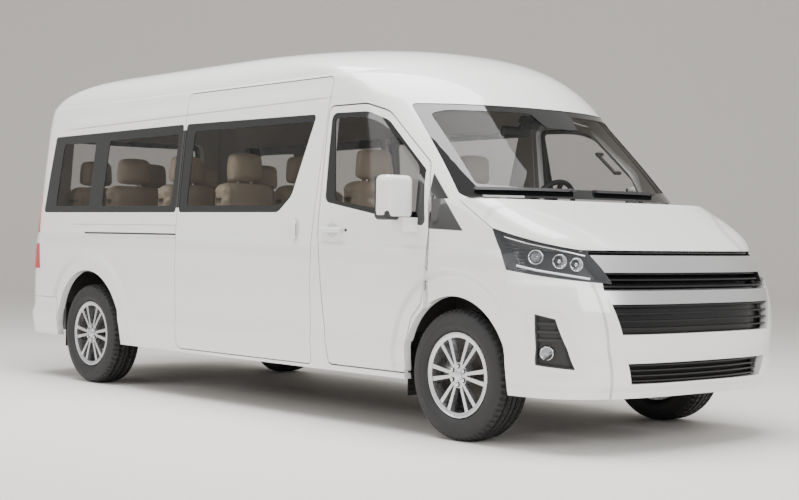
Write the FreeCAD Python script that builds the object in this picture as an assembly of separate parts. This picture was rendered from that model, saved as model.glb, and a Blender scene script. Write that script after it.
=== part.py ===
"""High-roof minibus with a bonnet, four side-hung or lifting lids and four wheels, in millimetres.

+X is forward, +Y is the vehicle's left, +Z is up. The origin lies on the ground under the middle of
the vehicle. Places that are measured along the vehicle count from the front axle.
"""
import FreeCAD, Part
import math
import os

from FreeCAD import Rotation, Vector

os.makedirs("parts", exist_ok=True)
doc = FreeCAD.newDocument("minibus")
sheet = doc.addObject("Spreadsheet::Sheet", "sizes")

# Driving dimensions. Heights are above the ground, stations count from the front axle, forward positive.
VALUES = {
    # whole vehicle
    "body_length": 5915, "body_width": 1950, "body_height": 2280,
    "front_overhang": 955, "wheelbase": 3860,
    # levels of the body
    "skirt_height": 285, "band_height": 485, "band_top": 542, "waist_height": 800, "crease_height": 1036,
    "cowl_height": 1310, "header_height": 1870, "gutter_height": 2060, "gutter_ledge": 9,
    "roof_fall": 62, "wall": 50, "skin": 4, "shut_gap": 6, "door_gap": 9, "seat_gap": 0.3,
    # front doors
    "door_bottom": 345, "door_height": 1521, "door_rear": -1175, "door_length": 965,
    "door_hinge_inset": 14, "door_hinge_lean": 1.5, "door_hinge_radius": 7, "door_hinge_length": 60,
    "door_hinge_pin": 4, "pin_clearance": 0.05, "door_hinge_low": 860, "door_hinge_high": 1150,
    "door_hinge_setback": 5,
    # sliding door and side windows
    "slider_bottom": 330, "slider_rear": -2700, "slider_front": -1165, "slider_top_drop": 12,
    "window_bottom": 1236, "window_height": 592, "window_rear": -4520, "window_front": -1285,
    "glass_thickness": 5, "glass_inset": 2, "window_post": 24,
    # windscreen, hood, tailgate
    "screen_half_bottom": 890, "screen_half_top": 812, "screen_bottom": 1322, "screen_top": 1862,
    "hood_thickness": 24, "hood_edge": 1046, "hood_hinge_station": -6,
    "hood_hinge_height": 1300, "hood_hinge_half": 897, "hood_hinge_length": 30, "hood_hinge_radius": 7,
    "hood_hinge_pin": 4, "hood_leaf": 54,
    "gate_bottom": 640, "gate_top": 2012, "gate_half": 790, "gate_hinge_radius": 8,
    "gate_window_bottom": 1260, "gate_window_top": 1830, "gate_window_half": 640, "gate_hinge_pin": 4.5,
    "plate_height": 1100, "plate_pitch": 210, "plate_hole_radius": 3,
    "gate_hinge_station": -4834, "gate_hinge_half": 250, "gate_hinge_length": 60, "hinge_leaf": 30,
    # arches
    "front_arch_radius": 405, "front_arch_rise": 380, "rear_arch_radius": 440, "rear_arch_rise": 376,
    # nose
    "bumper_line": 392, "bumper_line_foot": 400, "bumper_thickness": 40,
    "grille_half": 622, "grille_bottom": 617, "intake_half": 560,
    "intake_bottom": 360, "intake_top": 468, "slat_thickness": 8, "bar_depth": 26, "fog_radius": 36,
    "tail_bumper_top": 600, "tail_bumper_bottom": 322,
    # wheels
    "tyre_radius": 357, "tyre_width": 235, "rim_radius": 232, "track": 1672, "rim_width": 178,
    "bead_radius": 216, "hub_radius": 34, "hub_length": 60, "hub_bore": 18, "spoke_count": 6, "spoke_width": 24, "spoke_lean": 0.165,
    "tyre_shoulder": 26,
    # chassis
    "rail_half": 430, "rail_width": 70, "rail_height": 110, "floor_top": 560, "floor_thickness": 36,
    "housing_reach": 470, "housing_top": 815, "housing_inner": 500, "bulkhead_station": -120,
    "bulkhead_top": 850, "kingpin_half": 700, "kingpin_radius": 12, "eye_height": 36, "eye_drop": 98,
    "axle_radius": 42, "drum_radius": 150, "drum_width": 70, "disc_radius": 150, "disc_thickness": 24,
    "engine_half": 275, "engine_front": 600, "engine_rear": -90, "engine_top": 850, "gearbox_half": 130,
    "gearbox_rear": -950, "shaft_radius": 35, "pipe_radius": 25, "silencer_radius": 75,
    "front_flap_foot": 205, "rear_flap_foot": 235, "flap_inner": 721, "flap_outer": 880,
    # seats
    "seat_width": 480, "seat_depth": 470, "cushion_height": 150, "back_height": 560,
    "back_thickness": 120, "seat_base": 280, "headrest_height": 200, "headrest_width": 280,
    "front_seat_station": -1080, "front_seat_half": 430, "row_station": -2230, "row_pitch": 700,
    "row_count": 4, "row_wide_half": 590, "row_middle": -95,
    # steering wheel, mirrors, wipers
    "wheel_station": -600, "wheel_half": 420, "wheel_height": 1285, "wheel_tilt": 28, "wheel_ring": 190,
    "wheel_grip": 16, "column_radius": 22, "column_length": 250, "mirror_station": -390,
    "mirror_length": 120, "mirror_width": 200, "mirror_height": 250, "mirror_foot": 1190,
    "wiper_reach": 560,
}

for row, (alias, number) in enumerate(VALUES.items(), 1):
    sheet.set("A%d" % row, alias)
    sheet.set("B%d" % row, str(number))
    sheet.setAlias("B%d" % row, alias)
doc.recompute()


class Sizes:
    """The sheet's values as attributes."""

    def __getattr__(self, alias):
        return float(sheet.get(alias))


v = Sizes()
AXLE = v.body_length / 2 - v.front_overhang
REAR_AXLE = AXLE - v.wheelbase
HALF = v.body_width / 2
OVERRUN = v.body_width
LEFT, RIGHT = 1, -1
FLOOR_FOOT = v.floor_top - v.floor_thickness
RAIL_TOP = FLOOR_FOOT - v.seat_gap
RAIL_FOOT = RAIL_TOP - v.rail_height
REAR_OVERHANG = v.body_length - v.front_overhang - v.wheelbase


def place_solid(name, shape):
    """One sub-part as an object of the document."""
    piece = doc.addObject("Part::Feature", name)
    piece.Label = name
    piece.Shape = shape
    piece.Placement = shape.Placement
    return piece


def mirrored(shape):
    """The same solids on the vehicle's left."""
    return shape.mirror(Vector(0, 0, 0), Vector(0, 1, 0))


def one(shape):
    """The largest solid of a result, without slivers."""
    return max(shape.Solids, key=lambda solid: solid.Volume)


# Outer form: plan outlines at rising levels. Each row: height, half width, nose station, depth of the
# rounded nose, its power, tail station, depth and power of the rounded tail. Lengths are shares of the
# body height, of half the width, of the front overhang, and for the tail of the rear overhang.
def levels(rows):
    return [(z, half * HALF, nose * v.front_overhang, depth * v.front_overhang, power,
             tail * REAR_OVERHANG, tail_depth * REAR_OVERHANG, tail_power)
            for z, half, nose, depth, power, tail, tail_depth, tail_power in rows]


def body_levels():
    low_shares = [(v.skirt_height, .968, .947, .60, 3.0, .975, .30, 2.2),
                  ((v.skirt_height + v.band_height) / 2, .985, .984, .66, 3.0, .990, .30, 2.2),
                  (v.band_height, .9955, .992, .68, 3.0, 1.0, .30, 2.2)]
    side_shares = [(v.band_top, .988, .992, .68, 3.0, .975, .30, 2.2),
                   (v.waist_height, 1.0, .979, .72, 3.0, .955, .30, 2.2),
                   (v.crease_height, .998, .845, .76, 3.0, .930, .30, 2.2)]
    rise = (v.cowl_height - v.crease_height) / 4
    hood_shares = [(v.crease_height, .998, .845, .76, 3.0, .930, .30, 2.2),
                   (v.crease_height + rise, .9955, .720, .72, 4.4, .920, .30, 2.2),
                   (v.crease_height + 2 * rise, .992, .590, .66, 5.4, .912, .30, 2.2),
                   (v.crease_height + 3 * rise, .987, .452, .60, 5.8, .907, .30, 2.2),
                   (v.cowl_height, .980, .315, .611, 6.0, .903, .30, 2.2)]
    rise = (v.header_height - v.cowl_height) / 3
    screen_shares = [(v.cowl_height, .980, .304, .600, 2.3, .903, .30, 2.2),
                     (v.cowl_height + rise, .962, .118, .60, 2.3, .901, .30, 2.2),
                     (v.cowl_height + 2 * rise, .942, -.070, .60, 2.2, .899, .30, 2.2),
                     (v.header_height, .921, -.262, .60, 2.1, .896, .30, 2.2)]
    rise = v.gutter_height - v.header_height
    header_shares = [(v.header_height, .921, -.262, .60, 2.1, .896, .30, 2.2),
                     (v.header_height + rise / 2, .907, -.365, .66, 2.2, .892, .30, 2.2),
                     (v.gutter_height, .889, -.480, .80, 2.2, .880, .30, 2.2)]
    rise = v.body_height - v.gutter_height
    ledge = v.gutter_ledge / HALF
    dome_shares = [(v.gutter_height + v.gutter_ledge, .889 - ledge, -.493, .81, 2.2, .879, .30, 2.2),
                   (v.gutter_height + .36 * rise, .855, -.640, .95, 2.3, .840, .40, 2.5),
                   (v.gutter_height + .66 * rise, .800, -.850, 1.1, 2.3, .740, .50, 2.4),
                   (v.gutter_height + .86 * rise, .715, -1.12, 1.2, 2.3, .560, .60, 2.3),
                   (v.gutter_height + .96 * rise, .600, -1.42, 1.2, 2.2, .330, .70, 2.2),
                   (v.body_height, .470, -1.75, 1.1, 2.2, .060, .70, 2.2)]
    return [levels(table) for table in
            (low_shares, [low_shares[-1], side_shares[0]], side_shares, hood_shares, screen_shares,
             header_shares, [header_shares[-1], dome_shares[0]], dome_shares)]


POINTS_A_QUARTER = 9
SAMPLES = 400
SCREEN_TABLE = 4


def quarter_shares(power):
    """Evenly spaced points of a quarter of a rounded square, as shares along and across."""
    raw = []
    for index in range(SAMPLES + 1):
        angle = math.pi / 2 * index / SAMPLES
        along = math.cos(angle) ** (2 / power) if index < SAMPLES else 0
        raw.append((along, math.sin(angle) ** (2 / power)))
    lengths = [0]
    for before, after in zip(raw, raw[1:]):
        lengths.append(lengths[-1] + math.dist(before, after))
    picked = []
    for index in range(POINTS_A_QUARTER + 1):
        goal = lengths[-1] * index / POINTS_A_QUARTER
        nearest = min(range(SAMPLES + 1), key=lambda place: abs(lengths[place] - goal))
        picked.append(raw[nearest])
    return picked


def rounded_end(middle, depth, half, power, height):
    """Points of a rounded end, from the right side over the middle to the left side."""
    quarter = quarter_shares(power)
    shares = [(along, -across) for along, across in reversed(quarter)] + quarter[1:]
    points = []
    for along, across in shares:
        station = middle - depth + depth * along
        points.append(Vector(AXLE + station, half * across, height(station)))
    return points


def smooth_edge(points, start, end):
    """A curve through the points that leaves along start and arrives along end."""
    steps = len(points) - 1
    flags = [True] + [False] * (steps - 1) + [True]
    first = start * (points[0].distanceToPoint(points[1]) * steps)
    last = end * (points[-1].distanceToPoint(points[-2]) * steps)
    curve = Part.BSplineCurve()
    curve.interpolate(Points=points, Parameters=[i / steps for i in range(steps + 1)],
                      Tangents=[first] + [start] * (steps - 1) + [last], TangentFlags=flags,
                      Scale=False)
    return curve.toShape()


def plan_wire(level, inset, roof_inset):
    z, half, nose, depth, power, tail, tail_depth, tail_power = level
    fall = v.roof_fall / (v.wheelbase + v.front_overhang)
    weight = max(0, min(1, (z - v.cowl_height) / (v.gutter_height - v.cowl_height)))
    reference = -v.wheelbase / 3

    def height(station):
        return z - roof_inset + fall * weight * (station - reference)

    front = rounded_end(nose - inset, depth, half - inset, power, height)
    back_middle = v.wheelbase + tail - inset
    back = rounded_end(back_middle, tail_depth, half - inset, tail_power, lambda s: height(-s))
    back = [Vector(2 * AXLE - p.x, p.y, p.z) for p in reversed(back)]
    slope = Vector(1, 0, fall * weight)
    front_edge = smooth_edge(front, slope, slope * -1)
    back_edge = smooth_edge(back, slope * -1, slope)
    left = Part.LineSegment(front[-1], back[0]).toShape()
    right = Part.LineSegment(back[-1], front[0]).toShape()
    return Part.Wire([front_edge, left, back_edge, right])


def body_form(inset):
    """The whole vehicle's outer form, set in by a wall: lofts stacked on shared outlines."""
    faces = []
    above = None
    for index, table in enumerate(body_levels()):
        wires = []
        for level in table:
            lowered = (level[0] - v.crease_height) / (v.cowl_height - v.crease_height)
            wires.append(plan_wire(level, inset, inset * max(0, min(1, lowered))))
        if index == 0:
            faces.append(Part.Face(wires[0]))
        elif index == SCREEN_TABLE:
            faces.append(Part.Face(Part.Wire([above.Edges[0], wires[0].Edges[0]])))
        faces += Part.makeLoft(wires, False, len(wires) == 2, False, 5).Faces
        above = wires[-1]
    faces.append(Part.Face(above))
    shell = Part.makeShell(faces)
    shell.sewShape()
    solid = Part.makeSolid(shell)
    if solid.Volume < 0:
        solid.reverse()
    return solid


# Outlines are drawn in the side view as (station, height) or in the front view as (across, height).
def side_point(station, height):
    return Vector(AXLE + station, 0, height)


def rounded_wire(corners):
    """A closed outline whose corners are (point, radius)."""
    count = len(corners)
    edges = []
    ends = []
    for index, (point, radius) in enumerate(corners):
        before = corners[index - 1][0]
        after = corners[(index + 1) % count][0]
        back = (before - point).normalize()
        ahead = (after - point).normalize()
        if radius <= 0:
            ends.append((point, point, None))
            continue
        half_angle = back.getAngle(ahead) / 2
        reach = radius / math.tan(half_angle)
        middle = point + (back + ahead).normalize() * (radius / math.sin(half_angle) - radius)
        ends.append((point + back * reach, point + ahead * reach, middle))
    for index, (start, end, middle) in enumerate(ends):
        if middle is not None:
            edges.append(Part.Arc(start, middle, end).toShape())
        following = ends[(index + 1) % count][0]
        if end.distanceToPoint(following) > v.pin_clearance:
            edges.append(Part.LineSegment(end, following).toShape())
    return Part.Wire(edges)


def side_prism(corners, side):
    """What lies behind an outline drawn on one side of the vehicle."""
    wire = rounded_wire([(side_point(x, z), r) for x, z, r in corners])
    return Part.Face(wire).extrude(Vector(0, side * OVERRUN, 0))


def front_prism(corners, start, reach):
    """What lies behind an outline drawn in the front view, from one station to another."""
    wire = rounded_wire([(Vector(AXLE + start, y, z), r) for y, z, r in corners])
    return Part.Face(wire).extrude(Vector(reach - start, 0, 0))


def box(x0, x1, y0, y1, z0, z1):
    """A block between stations, across and in height."""
    return Part.makeBox(x1 - x0, y1 - y0, z1 - z0, Vector(AXLE + x0, y0, z0))


def cylinder(radius, length, base, direction):
    return Part.makeCylinder(radius, length, base, direction)


def grown(corners, gap):
    """An outline grown by a gap; its corners run clockwise or the other way round."""
    wire = Part.makePolygon([Vector(x, z, 0) for x, z, r in corners] + [Vector(*corners[0][:2], 0)])
    area = 0
    for (x0, z0, _), (x1, z1, _) in zip(corners, corners[1:] + corners[:1]):
        area += x0 * z1 - x1 * z0
    turn = 1 if area > 0 else -1
    result = []
    count = len(corners)
    for index, (x, z, r) in enumerate(corners):
        before = Vector(*corners[index - 1][:2], 0)
        here = Vector(x, z, 0)
        after = Vector(*corners[(index + 1) % count][:2], 0)
        into = (here - before).normalize()
        out = (after - here).normalize()
        normal_in = Vector(into.y, -into.x, 0) * turn
        normal_out = Vector(out.y, -out.x, 0) * turn
        bisector = (normal_in + normal_out).normalize()
        moved = here + bisector * (gap / bisector.dot(normal_in))
        result.append((moved.x, moved.y, max(0, r + (gap if r > 0 else 0))))
    return result


FORM = {}


def form(inset):
    """The outer form at a depth, made once."""
    if inset not in FORM:
        FORM[inset] = body_form(inset)
    return FORM[inset]


def wall_shell(thickness):
    return form(0).cut(form(thickness))


# Side view outlines
def door_outline():
    shares = ((.109, 0, .015), (.072, .143, .08), (0, .51, .2), (.010, 1, .03), (.362, 1, .12),
              (.554, .967, .12), (.936, .765, .06), (.985, .648, .06), (1, .525, .1), (.962, .304, .08),
              (.946, .256, .03), (.861, .201, .06), (.812, .114, .06), (.806, 0, .015))
    return [(v.door_rear + x * v.door_length, v.door_bottom + z * v.door_height, r * v.door_height)
            for x, z, r in shares]


def door_window_outline():
    shares = ((.045, .627, .03), (.038, .975, .03), (.382, .972, .16), (.571, .934, .12),
              (.925, .742, .02), (.972, .534, .02))
    return [(v.door_rear + x * v.door_length, v.door_bottom + z * v.door_height, r * v.door_height)
            for x, z, r in shares]


def gutter_at(station):
    fall = v.roof_fall / (v.wheelbase + v.front_overhang)
    return v.gutter_height + fall * (station + v.wheelbase / 3)


def slider_outline():
    front = v.slider_front
    length = front - v.slider_rear
    height = gutter_at(front) - v.slider_top_drop - v.slider_bottom
    top_rear = gutter_at(v.slider_rear) - v.slider_top_drop
    return [(v.slider_rear, v.slider_bottom, .03 * height), (v.slider_rear, top_rear, .02 * height),
            (front, v.slider_bottom + height, .02 * height), (front - .052 * length, v.crease_height, .2 * height),
            (front - .052 * length, v.slider_bottom, .02 * height)]


def band_outline(rear, front, slanted):
    """A side window between two stations; the front one is cut back at its foot."""
    low, high = v.window_bottom, v.window_bottom + v.window_height
    length = v.window_front - v.slider_rear
    small = .04 * v.window_height
    if slanted:
        return [(rear, low, small), (rear, high, small), (front, high, small),
                (front - .124 * length, low + .17 * v.window_height, .22 * v.window_height),
                (front - .213 * length, low, .12 * v.window_height)]
    lean = .12 * v.window_height if rear == v.window_rear else 0
    return [(rear, low, small), (rear + lean, high - .04 * v.window_height, small), (front, high, small),
            (front, low, small)]


def arch_cutter(station, radius, rise, side):
    """The wheel opening in the body's side, open downwards."""
    centre = side_point(station, rise)
    top = [Vector(centre.x + radius * math.cos(a), 0, centre.z + radius * math.sin(a))
           for a in (math.pi, math.pi / 2, 0)]
    foot = [Vector(centre.x + radius, 0, 0), Vector(centre.x - radius, 0, 0)]
    wire = Part.Wire([Part.Arc(*top).toShape(), Part.LineSegment(top[-1], foot[0]).toShape(),
                      Part.LineSegment(foot[0], foot[1]).toShape(),
                      Part.LineSegment(foot[1], top[0]).toShape()])
    return Part.Face(wire).extrude(Vector(0, side * OVERRUN, 0))


def arches(side):
    return (arch_cutter(0, v.front_arch_radius, v.front_arch_rise, side)
            .fuse(arch_cutter(-v.wheelbase, v.rear_arch_radius, v.rear_arch_rise, side)))


# Zones of the shell
def roof_zone():
    """Above the gutter, and forward of a line that sweeps down the windscreen pillar to the cowl."""
    gap = v.shut_gap / 4
    reach = v.body_length
    door = v.door_length
    low, high = v.cowl_height, v.gutter_height
    start = v.slider_front + .10 * door
    sweep = ((.22, .97), (.42, .85), (.60, .66), (.78, .42), (.93, .20), (1.04, .04))
    corners = [(-reach, gutter_at(-reach) + gap, 0), (start, gutter_at(start) + gap, .12 * door)]
    for along, up in sweep:
        corners.append((v.door_rear + (along + .10) * door, low + up * (high - low) + gap, .1 * door))
    corners += [(reach, low + gap, 0), (reach, 2 * v.body_height, 0), (-reach, 2 * v.body_height, 0)]
    wire = rounded_wire([(side_point(x, z), r) for x, z, r in corners])
    return Part.Face(wire).extrude(Vector(0, OVERRUN, 0)).fuse(
        Part.Face(wire).extrude(Vector(0, -OVERRUN, 0)))


def full_prism(corners):
    return side_prism(corners, LEFT).fuse(side_prism(corners, RIGHT)).removeSplitter()


def hood_corners(gap):
    """Side view zone of the hood: over the fenders and lamps, ahead of the windscreen."""
    reach = v.body_length
    cowl = v.cowl_height
    nose = v.front_overhang
    edge = v.hood_edge
    return [(-.03 * nose, cowl + .018 * cowl + gap, 0), (.29 * nose, 1.105 * edge + gap, .03 * nose),
            (.72 * nose, edge + gap, .03 * nose), (reach, .985 * edge + gap, 0),
            (reach, 2 * cowl, 0), (-.03 * nose, 2 * cowl, 0)]


def screen_corners(gap):
    """Front view outline of the windscreen."""
    wide, narrow = v.screen_half_bottom + gap, v.screen_half_top + gap
    low, high = v.screen_bottom - gap, v.screen_top + gap
    small = .05 * (v.screen_top - v.screen_bottom)
    return [(-wide, low, small), (wide, low, small), (narrow, high, small), (-narrow, high, small)]


def screen_zone(gap):
    return front_prism(screen_corners(gap), -v.front_overhang, v.front_overhang)


# Body panels
def lamp_zone(gap):
    """Both headlamps: a band round the nose corners, between the hood and the bumper."""
    nose = v.front_overhang
    edge = v.hood_edge
    band = grown([(.29 * nose, 1.105 * edge, 0), (.405 * nose, .896 * edge, 0),
                  (1.4 * nose, .77 * edge, 0), (1.4 * nose, .85 * edge, 0)], gap)
    inner = [(-.715 * HALF + gap, .99 * edge + nose, 0), (.715 * HALF - gap, .99 * edge + nose, 0),
             (.715 * HALF - gap, .99 * edge, 0), (.66 * HALF - gap, .85 * edge, 0),
             (.66 * HALF - gap, 0, 0), (-.66 * HALF + gap, 0, 0), (-.66 * HALF + gap, .85 * edge, 0),
             (-.715 * HALF + gap, .99 * edge, 0)]
    return full_prism(band).cut(front_prism(inner, 0, 2 * nose))


def bumper_zone():
    """Everything ahead of the line between fender and bumper, under the lamps."""
    nose = v.front_overhang
    edge = v.hood_edge
    return full_prism([(v.bumper_line_foot, 0, 0), (.98 * v.bumper_line, .72 * edge, 0),
                       (v.bumper_line + .012 * nose, .9 * edge, 0), (2 * nose, .72 * edge, 0), (2 * nose, 0, 0)])


def grille_corners(gap):
    half = v.grille_half
    low, high = v.grille_bottom, v.hood_edge
    corners = [(-half, low, 0), (half, low, 0), (1.12 * half, low + .55 * (high - low), 0),
               (1.10 * half, low + .7 * (high - low), 0), (1.12 * half, high, 0),
               (-1.12 * half, high, 0), (-1.10 * half, low + .7 * (high - low), 0),
               (-1.12 * half, low + .55 * (high - low), 0)]
    return grown(corners, gap)


def intake_corners(gap):
    half = v.intake_half
    return grown([(-.98 * half, v.intake_bottom, 0), (.98 * half, v.intake_bottom, 0),
                  (1.04 * half, v.intake_top, 0), (-1.04 * half, v.intake_top, 0)], gap)


def cowl_column(gap):
    """Everything behind the foot of the windscreen."""
    level = list(body_levels()[SCREEN_TABLE][0])
    level[0] = 0
    low = plan_wire(level, -gap, 0)
    return Part.Face(low).extrude(Vector(0, 0, 2 * v.body_height))


def gate_corners(gap):
    half = v.gate_half
    small = .06 * half
    return grown([(-half, v.gate_bottom, small), (half, v.gate_bottom, small),
                  (.90 * half, v.gate_top, small), (-.90 * half, v.gate_top, small)], gap)


def gate_window_corners(gap):
    half = v.gate_window_half
    small = .08 * half
    return grown([(-half, v.gate_window_bottom, small), (half, v.gate_window_bottom, small),
                  (.94 * half, v.gate_window_top, small), (-.94 * half, v.gate_window_top, small)], gap)


def gate_zone(corners):
    return front_prism(corners, -v.wheelbase - .3 * v.front_overhang, -v.body_length)


def right_half():
    reach = 2 * v.body_length
    return Part.makeBox(2 * reach, reach, reach, Vector(-reach, -reach, -v.wall))


def fender_zone():
    reach = v.body_length
    door = v.door_rear + .795 * v.door_length
    return Part.makeBox(reach, 2 * reach, v.cowl_height + .4 * v.wall, Vector(AXLE + door, -reach, 0))


def tail_bumper_zone(gap):
    reach = v.body_length
    front = -v.wheelbase - v.rear_arch_radius
    return Part.makeBox(reach, 2 * reach, v.tail_bumper_top + gap, Vector(AXLE + front - reach + gap, -reach, 0))


def tail_lamp_zone(gap):
    nose = v.front_overhang
    low, high = .785 * v.crease_height, 1.34 * v.crease_height
    front = -v.wheelbase - .86 * nose
    block = box(front - nose, front + gap, -HALF * 2, HALF * 2, low - gap, high + gap)
    middle = box(front - 2 * nose, front + nose, -1.035 * v.gate_half + gap, 1.035 * v.gate_half - gap, 0, 2 * high)
    return block.cut(middle)


def side_rest(shell):
    """The fixed right side of the body between the roof, the doors, the nose and the tail."""
    gap = v.shut_gap
    rest = shell.common(right_half())
    for zone in (roof_zone(), side_prism(grown(door_outline(), v.door_gap), RIGHT), arches(RIGHT),
                 gate_zone(gate_corners(v.door_gap)), tail_bumper_zone(gap / 2), tail_lamp_zone(v.seat_gap),
                 screen_zone(0)):
        rest = rest.cut(zone)
    under = box(-v.body_length, v.front_overhang * 2, -OVERRUN, OVERRUN, 0, v.skirt_height + .4 * v.wall)
    return rest.cut(under)


def side_panels(rest):
    """Both sides behind the front doors, each with its own windows."""
    panel = rest.cut(fender_zone())
    right = panel.cut(side_prism(grown(slider_outline(), v.shut_gap), RIGHT))
    right = right.cut(side_prism(quarter_window(), RIGHT))
    left = panel
    for window in left_windows():
        left = left.cut(side_prism(window, RIGHT))
    return one(right), mirrored(one(left))


def quarter_window():
    return band_outline(v.window_rear, v.slider_rear - v.window_post, False)


def slider_window():
    return band_outline(v.slider_rear + v.window_post / 2, v.window_front, True)


def left_windows():
    return quarter_window(), band_outline(v.slider_rear + v.window_post, v.window_front, True)


def pane(corners):
    """A glass that follows the right side's surface and fills an outline."""
    return glass_in(side_prism(grown(corners, -v.seat_gap), RIGHT))


def glass_in(zone):
    """A glass that follows the body's surface within a zone."""
    return one(form(v.glass_inset).common(zone).cut(form(v.glass_inset + v.glass_thickness)))


def fender(rest):
    """Right fender with the hinge pins of the door and the hood."""
    panel = rest.common(fender_zone()).cut(lamp_zone(v.seat_gap)).cut(bumper_zone())
    panel = one(panel.cut(full_prism(hood_corners(-v.shut_gap))).cut(hinge_recess()))
    ears = hinge_ears(hood_hinge_line(), Vector(-v.hood_hinge_length, 0, -v.hood_hinge_length / 2))
    panel = panel.cut(hood_recess()).fuse(hinge_pins() + [ears[1]])
    return one(panel)


def door_hinge_line():
    """A point on the right door's hinge axis at the lower hinge and the axis's direction."""
    lean = math.radians(v.door_hinge_lean)
    station = AXLE + v.door_rear + v.door_length - v.door_hinge_setback
    base = Vector(station, v.door_hinge_inset - HALF, v.door_hinge_low)
    return base, Vector(0, math.sin(lean), math.cos(lean))


def hinge_recess():
    """Room for the door's leading edge to turn in."""
    base, direction = door_hinge_line()
    reach = v.door_height
    return cylinder(v.door_hinge_inset + v.door_gap, reach, base - direction * (reach / 2), direction)


def on_hinge(block, start, direction):
    """A block drawn about the hinge line's foot, moved onto the line."""
    block.Placement = FreeCAD.Placement(start, Rotation(Vector(0, 0, 1), direction)).multiply(block.Placement)
    return block


def front_door(shell):
    """Right front door with its hinge knuckles."""
    panel = shell.common(side_prism(door_outline(), RIGHT))
    panel = one(panel.cut(side_prism(door_window_outline(), RIGHT)))
    base, direction = door_hinge_line()
    panel = panel.cut(cylinder(v.door_hinge_radius + v.shut_gap, v.door_height, base - direction * v.wall,
                               direction))
    for place in hinge_places():
        start = base + direction * place
        leaf = Part.makeBox(v.wall, v.skin, v.door_hinge_length, Vector(-v.wall, -v.skin / 2, 0))
        panel = panel.fuse([cylinder(v.door_hinge_radius, v.door_hinge_length, start, direction),
                            on_hinge(leaf, start, direction)])
    bore = cylinder(v.door_hinge_pin + v.pin_clearance, v.door_height, base - direction * v.door_height / 2,
                    direction)
    return one(panel.cut(bore))


def hinge_places():
    """Heights of the hinges over the hinge line's base."""
    return 0, v.door_hinge_high - v.door_hinge_low


def hinge_pins():
    """The pins that the right fender carries, each with a leaf to the pillar."""
    base, direction = door_hinge_line()
    solids = []
    ear = v.door_hinge_length / 2 - v.skin
    for place in hinge_places():
        start = base + direction * (place - v.door_hinge_length / 2)
        arm = Part.makeBox(v.wall, 1.5 * v.skin, ear, Vector(0, .7 * v.door_hinge_radius, 0))
        solids.append(cylinder(v.door_hinge_pin, 2 * v.door_hinge_length, start, direction).fuse(
            [cylinder(v.door_hinge_radius, ear, start, direction), on_hinge(arm, start, direction)]))
    return solids


def sliding_door(shell):
    panel = shell.common(side_prism(slider_outline(), RIGHT))
    return one(panel.cut(side_prism(slider_window(), RIGHT)))


def roof_panel(shell):
    panel = shell.common(roof_zone()).cut(screen_zone(0))
    panel = panel.cut(full_prism(hood_corners(-v.shut_gap))).cut(gate_zone(gate_corners(v.door_gap)))
    return one(panel)


def windscreen():
    return glass_in(screen_zone(-v.seat_gap))


def hood():
    shell = form(0).cut(form(v.hood_thickness))
    low = box(-v.front_overhang, 2 * v.front_overhang, -OVERRUN, OVERRUN, 0, v.cowl_height)
    panel = shell.common(full_prism(hood_corners(0))).common(low).cut(cowl_column(2 * v.shut_gap))
    return one(panel)


def front_bumper():
    shell = form(0).cut(form(v.bumper_thickness))
    panel = shell.common(bumper_zone()).cut(lamp_zone(v.seat_gap))
    panel = panel.cut(front_prism(grille_corners(v.seat_gap), 0, 2 * v.front_overhang))
    panel = panel.cut(front_prism(intake_corners(0), 0, 2 * v.front_overhang))
    return one(panel.cut(full_prism(fog_corners(v.seat_gap))))


def headlamps():
    shell = form(v.skin / 2).cut(form(1.6 * v.wall))
    lamps = shell.common(lamp_zone(0)).cut(full_prism(hood_corners(-v.shut_gap)))
    lamp = one(lamps)
    return Part.makeCompound([lamp, mirrored(lamp)])


def fog_corners(gap):
    nose = v.front_overhang
    edge = v.hood_edge
    shares = ((.600, .685), (.712, .663), (.797, .418), (.607, .435))
    return grown([(x * nose, z * edge, v.skin) for x, z in shares], gap)


def fog_lamps():
    """Bezels in the bumper's lower corners: louvres above a round lamp in a sunk panel."""
    rear = form(v.bumper_thickness)
    zone = full_prism(fog_corners(0)).common(right_half())
    panel = form(.4 * v.bumper_thickness).common(zone).cut(rear)
    frame = form(v.skin).common(zone.cut(full_prism(fog_corners(-2 * v.skin)))).cut(rear)
    middle = Vector(AXLE + .655 * v.front_overhang, -.93 * HALF, .495 * v.hood_edge)
    aim = Vector(.5, -.86, 0)
    lamp = form(v.skin).common(zone).common(cylinder(v.fog_radius, 2 * v.wall, middle - aim * v.wall, aim))
    lamp = lamp.cut(rear)
    pieces = [frame, lamp]
    for share in (.55, .59, .63):
        height = share * v.hood_edge
        slat = box(0, v.body_length, -v.body_width, 0, height, height + 2 * v.slat_thickness)
        pieces.append(form(2 * v.skin).common(zone).common(slat).cut(rear))
    bezel = one(panel.fuse(pieces))
    return Part.makeCompound([bezel, mirrored(bezel)])


def front_grille():
    """Two broad bars, thin slats between them and a back plate that joins them."""
    zone = front_prism(grille_corners(0), 0, 2 * v.front_overhang)
    low, rise = v.grille_bottom, v.hood_edge - v.grille_bottom
    bar_shares = ((.36, .52), (.735, .94))
    slat_shares = (.06, .15, .24, .33, .56, .64, .71, .965)
    rear = 2.6 * v.bar_depth
    deep = form(2.2 * v.bar_depth).common(zone).cut(form(rear))
    solid = form(0).common(zone).cut(form(rear))
    bars = [solid.common(box(0, 2 * v.front_overhang, -HALF, HALF, low + start * rise, low + end * rise))
            for start, end in bar_shares]
    shallow = form(.5 * v.bar_depth).common(zone).cut(form(rear))
    for start in slat_shares:
        height = low + start * rise
        bars.append(shallow.common(box(0, 2 * v.front_overhang, -HALF, HALF, height, height + v.slat_thickness)))
    return one(deep.fuse(bars).cut(lamp_zone(v.seat_gap)))


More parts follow.
